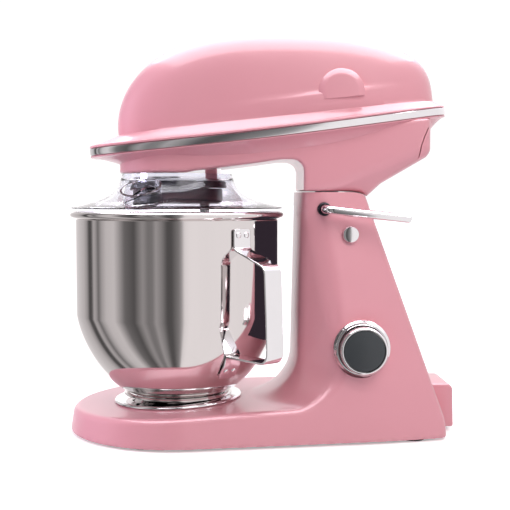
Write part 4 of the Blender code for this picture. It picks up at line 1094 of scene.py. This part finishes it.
def strip_studio(tree, towards):
    """What shiny surfaces show of the studio in a direction: upright strips, with a box overhead."""
    split = add_node(tree, "SeparateXYZ", [("Vector", towards)])
    flip = add_node(tree, "Math", [(0, split.outputs["Y"])], operation="MULTIPLY")
    flip.inputs[1].default_value = -1.0
    sides = [(0, split.outputs["X"]), (1, flip.outputs["Value"])]
    turn = [("Value", add_node(tree, "Math", sides, operation="ARCTAN2").outputs["Value"])]
    share = add_node(tree, "MapRange", turn, From_Min=-pi, From_Max=pi)
    strips = add_node(tree, "ValToRGB", [("Fac", share.outputs["Result"])])
    stops = strips.color_ramp.elements
    for index, (azimuth, value) in enumerate(STRIPS):
        spot = (azimuth + 180) / 360
        stop = stops[index] if index < 2 else stops.new(spot)
        stop.position = spot
        stop.color = (value, STRIP_TINT[0] * value, STRIP_TINT[1] * value, 1.0)
    lean = add_node(tree, "VectorMath", [(0, towards)], operation="DOT_PRODUCT")
    lean.inputs[1].default_value = BOX_TOWARDS
    rise = [("Value", lean.outputs["Value"])]
    rise = add_node(
        tree, "MapRange", rise, interpolation_type="SMOOTHSTEP", From_Min=0.55, From_Max=0.9
    )
    links = [("Factor", rise.outputs["Result"]), ("A", strips.outputs["Color"])]
    return add_node(tree, "Mix", links, data_type="RGBA", B=BOX_COLOUR).outputs["Result"]


def studio_world():
    """White to the camera, an even glow to matt surfaces, and a studio of strips to shiny ones."""
    world = bpy.data.worlds.new("studio")
    bpy.context.scene.world = world
    world.use_nodes = True
    tree = world.node_tree
    tree.nodes.clear()
    towards = add_node(tree, "TexCoord").outputs["Generated"]
    matt = add_node(tree, "Background", **MATT_GLOW)
    shiny = add_node(tree, "Background", [("Color", strip_studio(tree, towards))])
    seen = add_node(tree, "Background", **CAMERA_GLOW)
    path = add_node(tree, "LightPath")
    chosen = matt.outputs["Background"]
    for ray, glow in (("Is Glossy Ray", shiny), ("Is Camera Ray", seen)):
        links = [(0, path.outputs[ray]), (1, chosen), (2, glow.outputs["Background"])]
        chosen = add_node(tree, "MixShader", links).outputs["Shader"]
    add_node(tree, "OutputWorld", [("Surface", chosen)])


def softbox(name, place, aim, size, power, colour=(1.0, 1.0, 1.0)):
    data = bpy.data.lights.new(name, "AREA")
    data.shape = "RECTANGLE"
    data.size, data.size_y = size
    data.energy = power
    data.color = colour
    lamp = link_new(name, data)
    lamp.location = place
    lamp.rotation_mode = "QUATERNION"
    lamp.rotation_quaternion = (Vector(aim) - Vector(place)).to_track_quat("-Z", "Y")
    lamp.visible_camera = lamp.visible_glossy = False
    return lamp


def studio_plane(name, finish, colour, roughness):
    """A wide level plane, in an all but even colour."""
    made = bmesh.new()
    bmesh.ops.create_grid(made, x_segments=1, y_segments=1, size=FLOOR_REACH)
    plane = bmesh_object(name, made)
    plane.data.materials.append(surface(finish, colour, roughness, tint=0.004, patch=2.0, grain=300.0))
    return plane


def make_floor():
    """A white floor that glows, more so far out, and just below it a duller one that lights the part."""
    floor = studio_plane("floor", "studio_white", (0.93, 0.93, 0.935), (0.75, 0.85))
    tree = floor.data.materials[0].node_tree
    place = add_node(tree, "TexCoord").outputs["Object"]
    far = add_node(tree, "VectorMath", [(0, place)], operation="LENGTH").outputs["Value"]
    glow = add_node(
        tree, "MapRange", [("Value", far)], From_Min=0.5, From_Max=1.8, To_Min=0.36, To_Max=0.8
    )
    shader = tree.nodes["Principled BSDF"]
    shader.inputs["Emission Color"].default_value = (1.0, 1.0, 1.0, 1.0)
    tree.links.new(glow.outputs["Result"], shader.inputs["Emission Strength"])
    floor.visible_glossy = floor.visible_diffuse = floor.visible_shadow = False
    bounce = studio_plane("bounce", "studio_bounce", (0.82, 0.81, 0.84), (0.9, 1.0))
    bounce.location.z = -0.001
    bounce.visible_camera = bounce.visible_glossy = False


def make_painted_shade():
    """A black card that only mirrors see: painted shade that keeps the bowl's edge dark, where it mirrors the
    shaded gap between the bowl and the column.
    """
    # the card's faint dark purple glow is painted shade for the bowl to mirror
    glow = (("Emission Color", (0.036, 0.026, 0.037, 1.0)), ("Emission Strength", 1.0))
    dim = (("Specular IOR Level", 0.0), *glow)
    black = surface("painted_shade_black", (0.004, 0.004, 0.005), (0.9, 1.0), fixed=dim)
    made = bmesh.new()
    corners = [(0.106, y, z) for y, z in ((-0.066, 0.085), (-0.01, 0.085), (-0.01, 0.216), (-0.066, 0.216))]
    made.faces.new([made.verts.new(corner) for corner in corners])
    card = bmesh_object("painted_shade_card", made)
    card.data.materials.append(black)
    card.visible_camera = card.visible_diffuse = card.visible_shadow = card.visible_transmission = False


def make_camera():
    """A viewpoint a little above the part's middle, a metre in front of it and looking slightly down."""
    data = bpy.data.cameras.new("camera")
    data.lens, data.sensor_width = 69.2, 36.0
    camera = link_new("camera", data)
    turn, dip = radians(2.05), radians(3.33)
    ahead = Vector((sin(turn) * cos(dip), cos(turn) * cos(dip), -sin(dip)))
    camera.location = (0.044, -1.019, 0.239)
    camera.rotation_mode = "QUATERNION"
    camera.rotation_quaternion = ahead.to_track_quat("-Z", "Y")
    bpy.context.scene.camera = camera


def main():
    dress_cad_nodes()
    for make in (
        make_stand, make_rear_housing, make_power_inlet, make_hinge_caps, make_bowl_seat,
        make_knob, make_lever, make_bowl, make_bowl_foot, make_bowl_handle, make_rivets,
        make_head_cover, make_trim_band, make_head_housing, make_side_bosses, make_hub,
        make_carrier, make_splash_guard, make_beater, make_rear_panel,
    ):
        make()
    studio_world()
    softbox("key", (0.5, -1.00, 1.05), (0.06, 0.0, 0.2), (0.9, 0.9), 9.6, (1.0, 0.96, 0.93))
    softbox("top", (0.2, 0.25, 1.2), (0.1, 0.0, 0.25), (1.7, 0.8), 5.0)
    softbox("left", (-1.1, 0.05, 0.45), (0.1, 0.0, 0.2), (0.5, 1.0), 11.0, (0.88, 0.83, 1.0))
    bank = softbox("bank", (0.25, 0.25, 1.45), (0.25, 0.25, 0.0), (2.2, 2.4), 110.0, (0.97, 0.94, 1.0))
    bank.visible_glossy, bank.visible_diffuse = True, False
    make_floor()
    # a black card that only mirrors see: painted shade in the bowl's reflection
    make_painted_shade()
    make_camera()
    bpy.context.scene.view_settings.view_transform = "Standard"


main()
